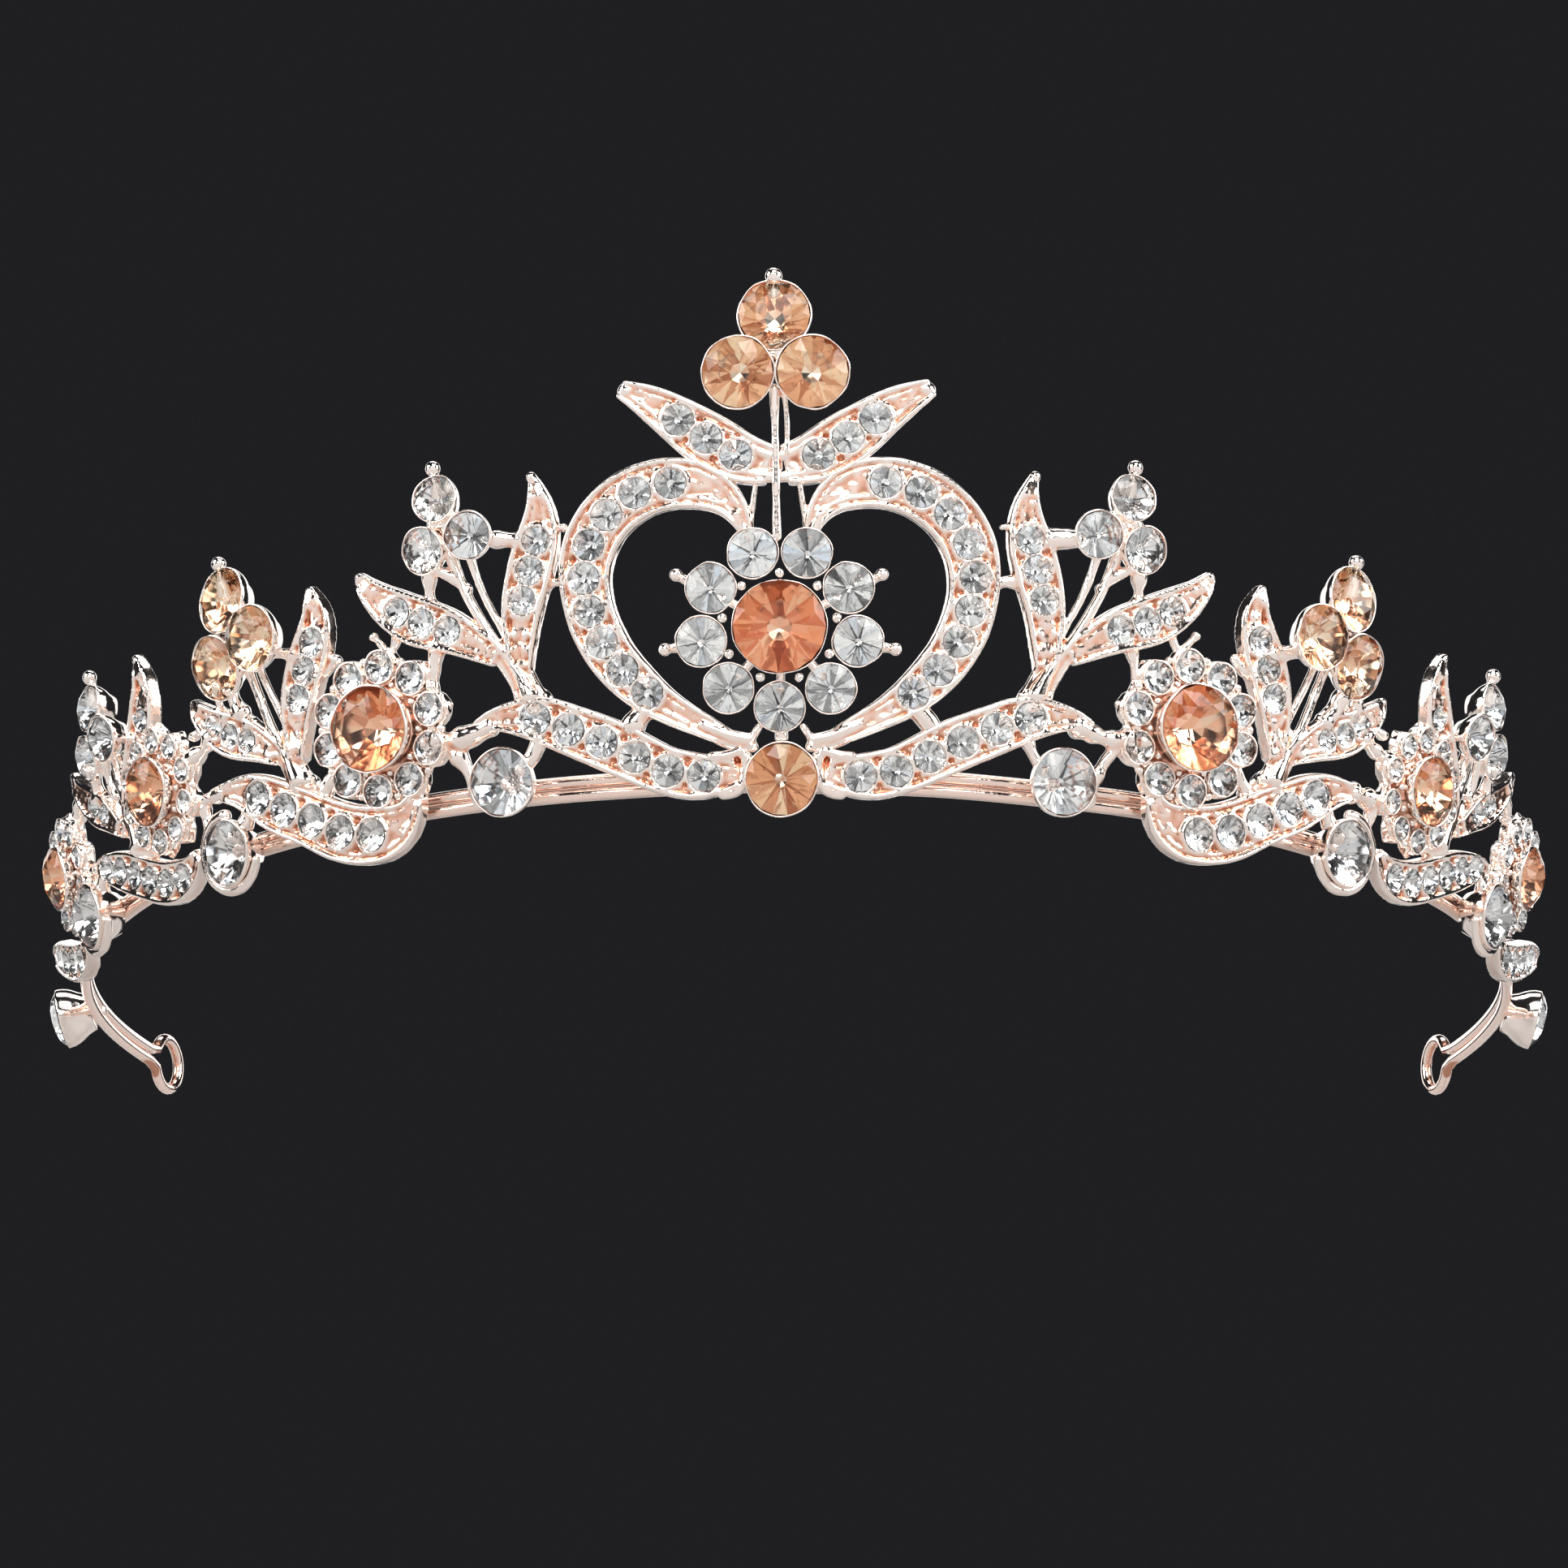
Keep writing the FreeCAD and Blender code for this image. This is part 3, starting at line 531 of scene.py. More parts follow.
def stone_group(node, look, depth):
    """One piece with every stone of a CAD node."""
    points, faces, kinds, painted_reflections, base = [], [], [], [], 0
    for centre, axis, diameter in stones_in(node):
        turn = random.uniform(0, math.pi / 4)
        tilt = random.uniform(-0.035, 0.035, 2)
        corners, sides, crown, facet_reflections = gem(centre, axis, diameter, depth, turn, tilt)
        points.append(corners)
        faces += [[base + corner for corner in side] for side in sides]
        kinds += [0] * crown + [1] * (len(sides) - crown)
        painted_reflections += facet_reflections
        base += len(corners)
    mesh = bpy.data.meshes.new(node + "_cut")
    mesh.from_pydata(np.concatenate(points).tolist(), [], faces)
    mesh.polygons.foreach_set("material_index", kinds)
    # Each facet's painted reflection shade, which the foil turns into dark and bright colour
    layer = mesh.attributes.new("facet", "FLOAT", "FACE")
    layer.data.foreach_set("value", painted_reflections)
    mesh.materials.append(look["crown"])
    mesh.materials.append(look["foil"])
    return finish_piece(node + "_cut", [mesh], node, [])


# ---------------------------------------------------------------- castings

# Width and height of a full-sized channel's rims, and how far its bed lies below their tops
RIM_WIDTH, RIM_HEIGHT, BED_DROP = 0.60, 0.42, 0.34
# Width of a fine groove or ridge, of the collar round a stone, and depth and width of a small pit
LINE_WIDTH, COLLAR_WIDTH, PIT_DEPTH, PIT_WIDTH = 0.13, 0.34, 0.34, 0.24
# Stones with their middles closer than this are neighbours in a row
NEIGHBOURS = 4.2


def channel(points, side, stones=(), drift=0.0, top=1.5, seed=1):
    """Casting with rolled rims and a pitted bed, pierced for the stones that sit in it."""
    line = smooth_line(points, CHANNEL_STEP)
    line[:, 0] = side * line[:, 0] + drift * line[:, 1]
    along, up, half = line.T
    half = np.maximum(half, 0.22)
    heading = unit(np.gradient(line[:, :2], axis=0))
    point, tangent, rise, normal = panel(along, up)
    sideways = unit(tangent * -heading[:, 1:] + rise * heading[:, :1])
    offset = half[:, None] * np.linspace(-1, 1, CHANNEL_COLUMNS)[None, :]
    flat = point[:, None] + sideways[:, None] * offset[..., None]
    edge = half[:, None] - np.abs(offset)
    scale = np.clip(half / 1.5, 0.3, 1.0)[:, None]
    top = top * (0.50 + 0.50 * np.clip(half / 0.9, 0, 1))[:, None]
    rim_width = RIM_WIDTH * scale
    rim_height = RIM_HEIGHT * scale
    crest = np.sqrt(np.clip(1 - (2 * edge / rim_width - 1) ** 2, 0, 1))
    bed = top - BED_DROP * scale
    rim = np.maximum(top - rim_height + rim_height * crest, np.where(edge > rim_width / 2, bed, 0))
    height = np.where(edge < rim_width, rim, bed)
    # A groove inside the rim, and a low ridge inside the groove
    for place, rise_by in ((1.12, -0.20), (1.55, 0.16)):
        height = height + rise_by * scale * np.exp(-((edge - place * rim_width) / LINE_WIDTH) ** 2)
    cells = flat.reshape(-1, 3)
    grain = 0.09 * value_noise(cells, 0.42, seed) + 0.06 * value_noise(cells, 0.9, seed + 1)
    inside = np.clip((edge - rim_width) / 0.25, 0, 1)
    height = height + grain.reshape(edge.shape) * inside
    for centre, axis, diameter in stones:
        gap = cells - centre
        above = (gap @ axis).reshape(edge.shape)
        away = np.linalg.norm(gap - (gap @ axis)[:, None] * axis, axis=1).reshape(edge.shape)
        if away.min() > diameter:
            continue
        radius = diameter / 2
        # A collar stands round the girdle, and the seat narrows below it as the stone does
        lip = -above + 0.10
        collar = lip - 0.9 * np.abs(away - radius - LINE_WIDTH) ** 1.5 / LINE_WIDTH
        beside = (away > radius) & (away < radius + COLLAR_WIDTH)
        height = np.where(beside, np.maximum(height, collar), height)
        pierced = -above - 0.02 - 1.15 * (radius - away)
        height = np.where(away < radius, np.maximum(THINNEST, np.minimum(lip, pierced)), height)
    # Small pits left between neighbouring stones
    middles = [(a[0] + b[0]) / 2 for a, b in zip(stones[:-1], stones[1:])
               if np.linalg.norm(a[0] - b[0]) < NEIGHBOURS]
    for middle in middles:
        nearest = np.argmin(np.linalg.norm(point - middle, axis=1))
        for way in (-1, 1):
            pit = point[nearest] + sideways[nearest] * way * half[nearest] * 0.50
            away = np.linalg.norm(cells - pit, axis=1).reshape(edge.shape)
            height = height - PIT_DEPTH * np.exp(-(away / PIT_WIDTH) ** 2)
    height = np.maximum(height, THINNEST)
    surface = flat + normal[:, None] * height[..., None]
    worn = 0.06 * value_noise(cells, 1.1, seed + 5).reshape(edge.shape)
    back = (flat + normal[:, None] * worn[..., None])[:, ::-4]
    return lofted(np.concatenate((surface, back), axis=1)[:, ::-1])


def stem(points, side, radius=0.42, out=0.8, drift=0.0, foot=1.0, tip=1.0, rough=0.08):
    """Cast stalk along (along, up) points, thicker or thinner at its two ends."""
    line = smooth_line(points, STEM_STEP)
    line[:, 0] = side * line[:, 0] + drift * line[:, 1]
    part = np.linspace(0, 1, len(line))
    radii = radius * np.interp(part, (0, 0.25, 0.75, 1), (foot, 1, 1, tip))
    middle = spot(line[:, 0], line[:, 1], np.interp(part, (0, 1), np.broadcast_to(out, 2)))
    from_end = np.minimum(np.arange(len(line)), np.arange(len(line))[::-1]) * STEM_STEP / radii
    rounded = np.sqrt(np.clip(1 - (1 - np.minimum(from_end, 1)) ** 2, 0.05, 1))
    return tube(middle, radii * rounded * (1 + rough * value_noise(middle, 1.1, 4)))


def gob(along, up, side, radius=0.7, out=0.8, drift=0.0, seed=3, squash=(1.0, 1.0, 1.0)):
    return lump(spot(side * along + drift * up, up, out), radius, seed + int(abs(along) * 7), squash)


def cup(centre, axis, diameter, depth, wall=0.16, seed=1, proud=0.05, foot=0.52, cut=0.42):
    """Turned cup with a thin lip round a stone's girdle, hollow enough for a stone cut this deep."""
    radius = diameter / 2
    outer = radius + wall
    hollow = min(cut * diameter + 0.12, depth - 0.06)
    profile = ((0.0, -depth), (outer * (foot - 0.12), -depth), (outer * foot, -depth + 0.10),
               (outer * (0.45 * foot + 0.46), -depth * 0.68), (outer * 0.86, -depth * 0.50),
               (outer * 0.93, -depth * 0.36), (outer * 0.98, -depth * 0.20), (outer, -0.14),
               (outer, proud * 0.5), (outer - 0.35 * wall, proud + 0.03),
               (radius + 0.3 * wall, proud + 0.03), (radius + 0.005, proud * 0.6),
               (radius + 0.005, -0.02 * diameter - 0.05),
               (radius * 0.34, -hollow * 0.86), (0.0, -hollow))
    return lathe(profile, centre, axis, 44, 0.035, seed)


def finial(along, up, out, side, towards, drift=0.0, radius=0.55):
    """Cast ball on a short neck that runs back towards a point (along, up)."""
    here = spot(side * along + drift * up, up, out)
    there = spot(side * towards[0] + drift * towards[1], towards[1], out * 0.6)
    neck = tube(here + (there - here) * np.linspace(0, 1, 7)[:, None], np.linspace(0.34, 0.52, 7))
    return [lump(here, radius, 9, rough=0.06), neck]


HEART = (
    (2.6, 21.2, 0.5), (3.7, 23.7, 1.3), (5.5, 25.25, 1.95), (8.6, 25.9, 2.3), (11.9, 25.0, 2.45),
    (14.5, 22.75, 2.5), (15.95, 19.7, 2.45), (16.15, 16.5, 2.3), (15.5, 13.4, 2.25),
    (14.2, 10.7, 2.15), (12.2, 8.2, 1.95), (9.7, 6.1, 1.5), (7.0, 4.5, 1.1), (4.4, 3.2, 0.7),
    (3.3, 2.8, 0.4),
)
CREST_LEAF = (
    (0.6, 27.3, 1.8), (2.7, 27.9, 2.25), (5.0, 29.3, 2.5), (7.4, 31.2, 2.2),
    (9.9, 33.15, 1.6), (12.3, 34.6, 0.8),
)
RIBBONS = (
    ((4.0, 0.0, 1.2), (6.5, -0.15, 1.95), (9.8, 0.4, 2.15), (12.7, 1.8, 2.3), (15.6, 3.3, 2.35),
     (18.4, 4.6, 2.25), (21.2, 5.8, 2.05), (23.6, 6.2, 1.5), (26.0, 6.1, 0.8), (27.8, 5.6, 0.3)),
    ((33.2, 1.0, 0.4), (34.4, -1.0, 1.5), (36.5, -2.2, 2.4), (39.0, -2.3, 2.7), (42.3, -1.35, 2.75),
     (45.5, 0.4, 2.6), (48.8, 2.1, 2.5), (51.4, 3.6, 2.1), (54.0, 4.5, 1.3), (56.8, 4.7, 0.3)),
    ((60.0, 0.6, 0.4), (61.2, -0.8, 1.3), (63.5, -1.6, 1.95), (66.5, -1.2, 2.1), (69.5, 0.0, 2.1),
     (72.5, 1.3, 2.05), (75.3, 2.4, 1.7), (78.0, 3.2, 1.0), (80.4, 3.4, 0.3)),
    ((85.9, -1.4, 0.4), (86.7, -2.7, 1.2), (89.0, -3.0, 1.8), (92.5, -2.2, 1.95), (96.3, -0.8, 1.85),
     (99.8, 0.4, 1.5), (103.0, 1.2, 0.8), (105.5, 1.3, 0.3)),
)
INNER_LEAVES = (
    ((22.5, 10.2, 0.9), (22.4, 13.2, 1.5), (22.0, 16.2, 1.95), (21.2, 19.0, 2.15), (20.4, 21.7, 2.0),
     (20.0, 24.2, 1.4), (20.2, 26.2, 0.75), (20.7, 27.9, 0.25)),
    ((45.8, 5.6, 0.8), (45.5, 8.2, 1.4), (44.8, 11.0, 1.95), (43.7, 13.6, 2.15), (42.4, 16.2, 2.0),
     (41.8, 18.6, 1.4), (42.3, 21.1, 0.3)),
    ((70.6, 6.2, 0.6), (69.5, 8.6, 1.2), (68.0, 10.7, 1.7), (66.4, 12.8, 1.95), (65.2, 15.2, 1.85),
     (64.6, 17.5, 1.3), (64.7, 19.1, 0.75), (65.2, 20.5, 0.25)),
)
OUTER_LEAVES = (
    ((24.6, 11.8, 1.0), (26.9, 13.4, 1.6), (29.2, 14.8, 2.05), (31.6, 15.9, 2.25), (33.9, 17.4, 2.0),
     (35.8, 19.2, 1.3), (37.2, 21.2, 0.35)),
    ((47.6, 6.5, 0.9), (49.4, 7.7, 1.5), (51.5, 8.9, 2.0), (53.5, 9.8, 2.1), (55.3, 11.0, 1.8),
     (56.9, 12.6, 1.1), (58.0, 14.1, 0.3)),
    ((71.8, 5.0, 0.6), (73.6, 6.6, 1.2), (75.6, 8.1, 1.7), (77.6, 9.5, 1.65), (79.5, 11.2, 1.15),
     (81.3, 13.6, 0.3)),
)
STEMS = (
    ((21.6, 7.2), (22.8, 10.1), (24.4, 12.7), (26.0, 15.6), (27.2, 18.4), (28.3, 22.2)),
    ((45.7, 3.2), (46.8, 6.0), (48.2, 9.0), (49.1, 12.0), (49.8, 14.4), (50.8, 17.4)),
    ((69.3, 2.6), (70.3, 5.2), (70.9, 8.0), (71.4, 11.0), (71.9, 14.0)),
)
# Bridges of run metal that tie each spray to its neighbours: points, radius, out at the two ends
BRIDGES = (
    ((((17.6, 17.4), (18.9, 17.9), (20.2, 17.6)), 0.7, (0.6, 0.6)),
     (((17.8, 22.6), (19.2, 22.9)), 0.5, (0.7, 0.7)),
     (((21.4, 21.9), (23.0, 22.1), (25.2, 22.4)), 0.95, (0.7, 1.5)),
     (((30.6, 16.9), (30.3, 18.8), (29.9, 21.4)), 0.9, (0.6, 1.4)),
     (((26.6, 17.8), (28.0, 19.3), (29.9, 20.6)), 0.65, (0.7, 1.4)),
     (((34.6, 17.0), (34.2, 14.8), (35.4, 12.9)), 0.65, (0.5, 0.5)),
     (((36.4, 15.6), (35.0, 13.6)), 0.55, (0.9, 0.6)),
     (((30.0, 14.2), (30.8, 11.7), (31.2, 9.4)), 0.7, (0.5, 0.5)),
     (((25.2, 5.9), (27.4, 5.2), (29.6, 4.9), (31.8, 5.2)), 1.15, (0.6, 0.6)),
     (((30.6, 5.0), (29.2, 3.4), (28.2, 1.4), (27.6, -0.8)), 0.85, (0.6, 0.2)),
     (((21.2, 4.6), (21.9, 2.9), (23.0, 1.4)), 0.75, (0.6, 1.0))),
    ((((43.4, 15.0), (45.0, 15.4), (47.2, 16.4)), 0.85, (0.7, 1.5)),
     (((40.2, 14.4), (41.4, 13.2), (42.8, 12.6)), 0.6, (0.6, 0.6)),
     (((50.6, 9.8), (51.9, 12.0), (52.4, 14.6)), 0.95, (0.6, 1.4)),
     (((53.4, 11.2), (54.3, 12.8), (53.0, 15.0)), 0.7, (0.6, 1.4)),
     (((56.2, 11.6), (58.8, 10.9)), 0.6, (0.5, 0.7)),
     (((55.6, 10.6), (57.6, 9.4), (60.2, 8.8)), 0.95, (0.6, 0.7)),
     (((55.2, 4.9), (57.8, 4.8), (60.4, 4.6)), 1.0, (0.6, 0.6)),
     (((52.6, 3.0), (53.4, 1.4), (54.4, 0.2)), 0.8, (0.6, 1.0)),
     (((58.8, 4.8), (58.6, 2.6), (57.6, 0.4)), 0.7, (0.6, 0.6)),
     (((41.4, 4.4), (43.6, 2.2)), 0.85, (0.6, 0.6))),
    ((((76.4, 9.2), (75.6, 11.4), (74.8, 13.0)), 0.8, (0.6, 1.4)),
     (((79.0, 3.4), (81.0, 3.8), (83.2, 4.3)), 0.9, (0.6, 0.6)),
     (((66.4, 12.6), (68.4, 13.4), (70.2, 13.8)), 0.75, (0.7, 1.4)),
     (((73.0, 8.4), (73.2, 10.4), (72.6, 12.6)), 0.6, (0.6, 1.4)),
     (((79.8, 12.2), (82.4, 9.4)), 0.65, (0.7, 0.7)), (((78.6, 2.8), (79.6, 1.2)), 0.7, (0.6, 0.9))),
)
# Thinner rod of each spray that runs beside its stem
SECOND_RODS = (
    ((26.5, 22.0), (25.8, 18.8), (25.0, 16.4), (24.0, 14.2), (23.2, 12.4)),
    ((49.2, 16.8), (48.3, 13.8), (47.4, 11.2), (46.6, 9.0), (46.0, 7.2)),
    ((70.9, 13.8), (70.0, 10.6), (69.3, 8.4), (69.0, 6.8)),
)
FINIALS = ((28.8, 29.3, 1.5), (51.3, 25.4, 1.5), (72.3, 20.6, 1.5))
BERRY_TOPS = ((28.6, 26.5), (51.0, 21.9), (72.3, 17.6))
# Rosettes: along, up, ring radius of the petals, how many, angle of the first, petal radius
ROSETTES = ((36.4, 6.9, 5.6, 10, 98.0, 1.60), (64.6, 7.2, 4.75, 10, 98.0, 1.37),
            (86.7, 4.9, 4.6, 10, 98.0, 1.37))
DROPS = ((24.6, 0.5), (55.2, -0.9), (81.1, -0.6), (117.8, -0.6))
# Drops that a ribbon's end curls round; they have a thicker wall
CURLED = (1, 2)
SOLDER = (0.0, 10.0, 24.6, 38.5, 55.2, 67.0, 81.1, 97.0, 117.8)

stones = {node: stones_in(node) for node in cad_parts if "stone" in node}


def on_side(places, side):
    return [place for place in places if place[0][0] * side > 0]


def near(places, along, up, reach):
    """Stones whose middle is within reach of a place on the panel, on either side of it."""
    here = spot(along, up, 1.5)
    return [place for place in places if np.linalg.norm(place[0] - here) < reach]


for name, side in SIDES:
    pave = on_side(stones["heart_pave_stones"], side)
    heart = [channel(HEART, side, pave, DRIFT, seed=21 + side),
             stem(((3.6, 23.4), (2.8, 21.6), (2.5, 20.4)), side, 0.55, 0.9, DRIFT, tip=0.8),
             stem(((2.4, 20.6), (2.0, 24.0), (1.6, 27.0)), side, 0.26, 0.8, DRIFT),
             stem(((7.0, 4.6), (4.4, 3.4), (2.2, 2.9)), side, 0.55, 1.1, DRIFT, foot=0.7),
             stem(((6.6, 3.8), (4.2, 2.6), (2.0, 2.4)), side, 0.5, 0.8, DRIFT, foot=0.7),
             stem(((2.6, 3.0), (1.7, 4.4)), side, 0.36, 1.2, DRIFT),
             gob(4.4, 26.2, side, 1.0, 0.6, DRIFT, squash=(1.2, 0.6, 0.9)),
             stem(((11.2, 6.2), (12.6, 5.0), (13.4, 3.6)), side, 1.0, 0.6, DRIFT, rough=0.25)]
    casting(f"heart_scroll_{name}_cast", f"heart_scroll_{name}", heart, seed=31 + side)
    leaf = [channel(CREST_LEAF, side, on_side(stones["crest_leaf_stones"], side), DRIFT, seed=25 + side),
            gob(3.6, 26.8, side, 0.9, 0.6, DRIFT, squash=(1.2, 0.6, 0.8)),
            stem(((3.6, 27.2), (1.6, 26.4), (-0.4, 26.2)), side, 0.5, 0.9, DRIFT),
            stem(((2.6, 29.6), (1.2, 28.4), (-0.4, 28.0)), side, 0.42, 1.0, DRIFT),
            gob(11.9, 34.4, side, 0.82, 0.75, DRIFT, squash=(1.0, 1.0, 0.9))]
    casting(f"crest_leaf_{name}_cast", f"crest_leaf_{name}", leaf, seed=35 + side)
    for number, points in enumerate(RIBBONS):
        row = on_side(stones["ribbon_stones"], side)
        ribbon = [channel(points, side, row, seed=41 + number + side)]
        if number == 0:
            ribbon += [stem(((6.4, 1.6), (4.6, 1.7), (3.2, 2.2)), side, 0.45, 1.2, tip=1.3),
                       stem(((5.6, -1.8), (3.8, -1.4), (3.1, 0.2), (3.2, 2.0)), side, 0.5, 1.0, tip=1.3),
                       gob(4.2, 0.1, side, 1.5, 0.5, squash=(1.0, 0.5, 1.1))]
        if number in CURLED:
            along, up = DROPS[number]
            curl = [(along + 3.5 * math.cos(angle), up + 3.5 * math.sin(angle))
                    for angle in np.radians(np.linspace(100, -165, 9))]
            ribbon.append(stem(curl, side, 0.5, 1.5, foot=1.3, tip=0.8, rough=0.12))
        casting(f"ribbon_{number + 1}_{name}_cast", f"ribbon_{number + 1}_{name}", ribbon,
                seed=51 + number)
    for number in range(3):
        seats = on_side(stones["leaf_stones"], side)
        foot = STEMS[number][0]
        spray = [channel(INNER_LEAVES[number], side, seats, seed=61 + number + side),
                 channel(OUTER_LEAVES[number], side, seats, seed=65 + number + side),
                 stem(STEMS[number], side, 0.46, 0.95, foot=2.2, tip=1.3),
                 stem([(a + 0.9, b) for a, b in STEMS[number][:3]], side, 0.55, 0.6, foot=1.6, tip=0.7),
                 stem([(a - 0.8, b) for a, b in STEMS[number][:3]], side, 0.50, 0.6, foot=1.8, tip=0.7),
                 stem(SECOND_RODS[number], side, 0.36, (1.1, 0.75), foot=1.3, tip=1.3)]
        for path, radius, out in BRIDGES[number]:
            # Only the bridges that end at a berry's cup rise this far out of the panel
            meets_cup = out[1] > 1.2
            spray.append(stem(path, side, 0.76 * radius, out, foot=1.6, tip=1.1 if meets_cup else 1.6,
                              rough=0.5))
            if not meets_cup:
                spray.append(gob(*path[-1], side, radius, out[1] - 0.2, squash=(1.15, 0.6, 0.85)))
        spray.append(gob(foot[0], foot[1] + 0.3, side, 1.3, 0.5, squash=(1.2, 0.5, 1.0)))
        for leaf in (INNER_LEAVES[number], OUTER_LEAVES[number]):
            before, end = np.array(leaf[-2][:2]), np.array(leaf[-1][:2])
            spray.append(gob(*(end + 0.45 * unit(before - end)), side, 0.5, 0.7))
        casting(f"spray_{number + 1}_{name}_cast", f"spray_{number + 1}_{name}", spray, seed=71 + number)
        kind = "berry_stones_champagne" if number == 1 else "berry_stones_clear"
        trio = near(stones[kind], side * BERRY_TOPS[number][0], BERRY_TOPS[number][1] - 3.0, 9.0)
        cups = [cup(*place, 2.5, 0.24 if number == 2 else 0.17, seed=number + count, foot=0.6,
                    cut=0.36 if number == 1 else 0.42) for count, place in enumerate(trio)]
        ball = finial(*FINIALS[number], side, BERRY_TOPS[number], radius=0.72)
        web = [lump(sum(place[0] for place in trio) / 3 - trio[0][1] * 1.5, 1.2, 5)]
        web += [lump((a[0] + b[0]) / 2 - a[1] * 0.9, 0.7, 6) for a, b in zip(trio, trio[1:] + trio[:1])]
        casting(f"berry_cups_{number + 1}_{name}_cast", f"berry_cups_{number + 1}_{name}",
                ball + web, cups, seed=81 + number)
        # The rosette's scalloped plate, its ten petal cups and the cup in its middle
        along, up, ring, petals, first, bulge = ROSETTES[number]
        start = math.radians(first) if side > 0 else math.pi - math.radians(first)
        middle = near(stones["rosette_centre_stones"], side * along, up, 4.0)
        round_it = near(stones["rosette_petal_stones"], side * along, up, ring + 2.0)
        centre, tangent, rise, normal = panel(side * along, up)
        turn = np.linspace(0, 2 * math.pi, 120, endpoint=False)
        off = (turn - start + math.pi / petals) % (2 * math.pi / petals) - math.pi / petals
        arc = np.clip(bulge ** 2 - (ring * np.sin(off)) ** 2, 0, None)
        reach = np.maximum(ring * np.cos(off) + np.sqrt(arc), ring + 0.35)
        reach = reach + 0.4 * np.exp(-(off / 0.05) ** 2)
        spokes = np.cos(turn)[:, None] * tangent + np.sin(turn)[:, None] * rise
        disc = [centre + normal * height + reach[:, None] * part * spokes
                for part, height in ((0.96, 0.0), (1.0, 0.15), (1.0, 0.4), (0.96, 0.52), (0.80, 0.5),
                                     (0.62, 0.36), (0.2, 0.36))]
        plate = [lofted(disc)]
        cups = [cup(*place, 2.9, 0.20, seed=4, foot=0.8, cut=0.36) for place in middle]
        cups += [cup(*place, 1.15, 0.20, seed=count, foot=0.9, cut=0.35)
                 for count, place in enumerate(round_it)]
        for count, place in enumerate(round_it):
            rim = place[2] / 2
            plate.append(lathe(((0, -1.5), (rim + 0.3, -1.5), (rim + 0.3, -0.5), (rim + 0.12, -0.4),
                                (rim - 0.1, -0.6), (0.3 * rim, -1.15), (0, -1.2)),
                               *place[:2], 30, 0.03, count))
        for count in range(petals):
            angle = start + (count + 0.5) * 2 * math.pi / petals
            ways = math.cos(angle) * tangent + math.sin(angle) * rise
            plate.append(lump(centre + ways * (ring - 1.45) + normal * 1.35, 0.36, count))
            plate.append(lump(centre + ways * (ring + 0.75) + normal * 1.0, 0.42, count + 5))
        casting(f"rosette_{number + 1}_{name}_cast", f"rosette_{number + 1}_{name}", plate, cups,
                seed=91 + number)
    for number, (along, up) in enumerate(DROPS):
        drop = near(stones["drop_stones"], side * along, up, 5.0)
        casting(f"drop_cup_{number + 1}_{name}_cast", f"drop_cup_{number + 1}_{name}", (),
                [cup(*place, 3.2, 0.26 if number in CURLED else 0.17, seed=number, foot=0.62)
                 for place in drop])

# Crest, centre flower and base
crest = stones["crest_berry_stones"]
stalks = [stem(((-0.1, 20.4), (-0.1, 27.0), (-0.1, 34.4)), 1, 0.34, 1.9, DRIFT, foot=1.2, tip=1.5),
          stem(((0.75, 28.0), (0.85, 30.4), (0.6, 34.2)), 1, 0.24, 1.7, DRIFT, foot=1.2, tip=1.5),
          stem(((-0.1, 26.4), (-0.1, 28.2)), 1, 0.62, 1.4, DRIFT, foot=0.7, tip=0.7)]
casting("crest_stem_cast", "crest_stem", stalks, voxel=0.12)
ball = finial(0.0, 44.06, 1.4, 1, (0.0, 42.0), DRIFT, radius=0.8)
web = [lump(sum(place[0] for place in crest) / 3 - crest[0][1] * 2.0, 1.7, 5)]
casting("crest_berry_cups_cast", "crest_berry_cups", ball + web,
        [cup(*place, 2.5, 0.16, seed=count, foot=0.6, cut=0.36) for count, place in enumerate(crest)])

# Height of the flower's middle, and how far out its petals, balls, balls' necks and prongs lie
FLOWER_UP, FLOWER_RING = 12.8, 7.0
BALL_RING, NECK_RING, PRONG_RING = 9.75, 8.4, 4.75
flower = [stem([(part * FLOWER_RING * math.cos(angle), FLOWER_UP + part * FLOWER_RING * math.sin(angle))
                for part in (0.3, 0.55, 0.85)], 1, 0.42, 0.9, DRIFT, tip=1.4)
          for angle in map(math.radians, (-90, -50, 30, 150, 230))]
flower.append(stem(((0, FLOWER_UP - FLOWER_RING - 1.4), (0, FLOWER_UP - FLOWER_RING - 3.2)),
                   1, 0.6, 0.9, DRIFT))
for degrees in (30, -10, 150, 190):
    angle = math.radians(degrees)
    ways = math.cos(angle), math.sin(angle)
    tip = (ways[0] * BALL_RING, FLOWER_UP + ways[1] * BALL_RING)
    neck = (ways[0] * NECK_RING, FLOWER_UP + ways[1] * NECK_RING)
    flower += finial(*tip, 1.6, 1, neck, DRIFT, 0.58)
# Prongs between the petals, beside the centre stone
for angle in np.radians(-70.0 + 40.0 * np.arange(9)):
    prong_along = PRONG_RING * math.cos(angle) + DRIFT * FLOWER_UP
    prong_up = FLOWER_UP + PRONG_RING * math.sin(angle)
    flower.append(lump(spot(prong_along, prong_up, 2.6), 0.42, 7))
petals = stones["flower_petal_stones"]
cups = [cup(*place, 2.0, 0.13, seed=count, proud=0.02, foot=0.7) for count, place in enumerate(petals)]
cups += [cup(*place, 3.1, 0.10, seed=3, proud=0.0, foot=0.8, cut=0.36)
         for place in stones["flower_centre_stone"]]
casting("centre_flower_cast", "centre_flower_frame", flower, cups, voxel=0.13)
casting("base_cup_cast", "base_cup", (),
        [cup(*place, 3.2, 0.16, foot=0.62) for place in stones["base_stone"]])

# ---------------------------------------------------------------- stones in their seats

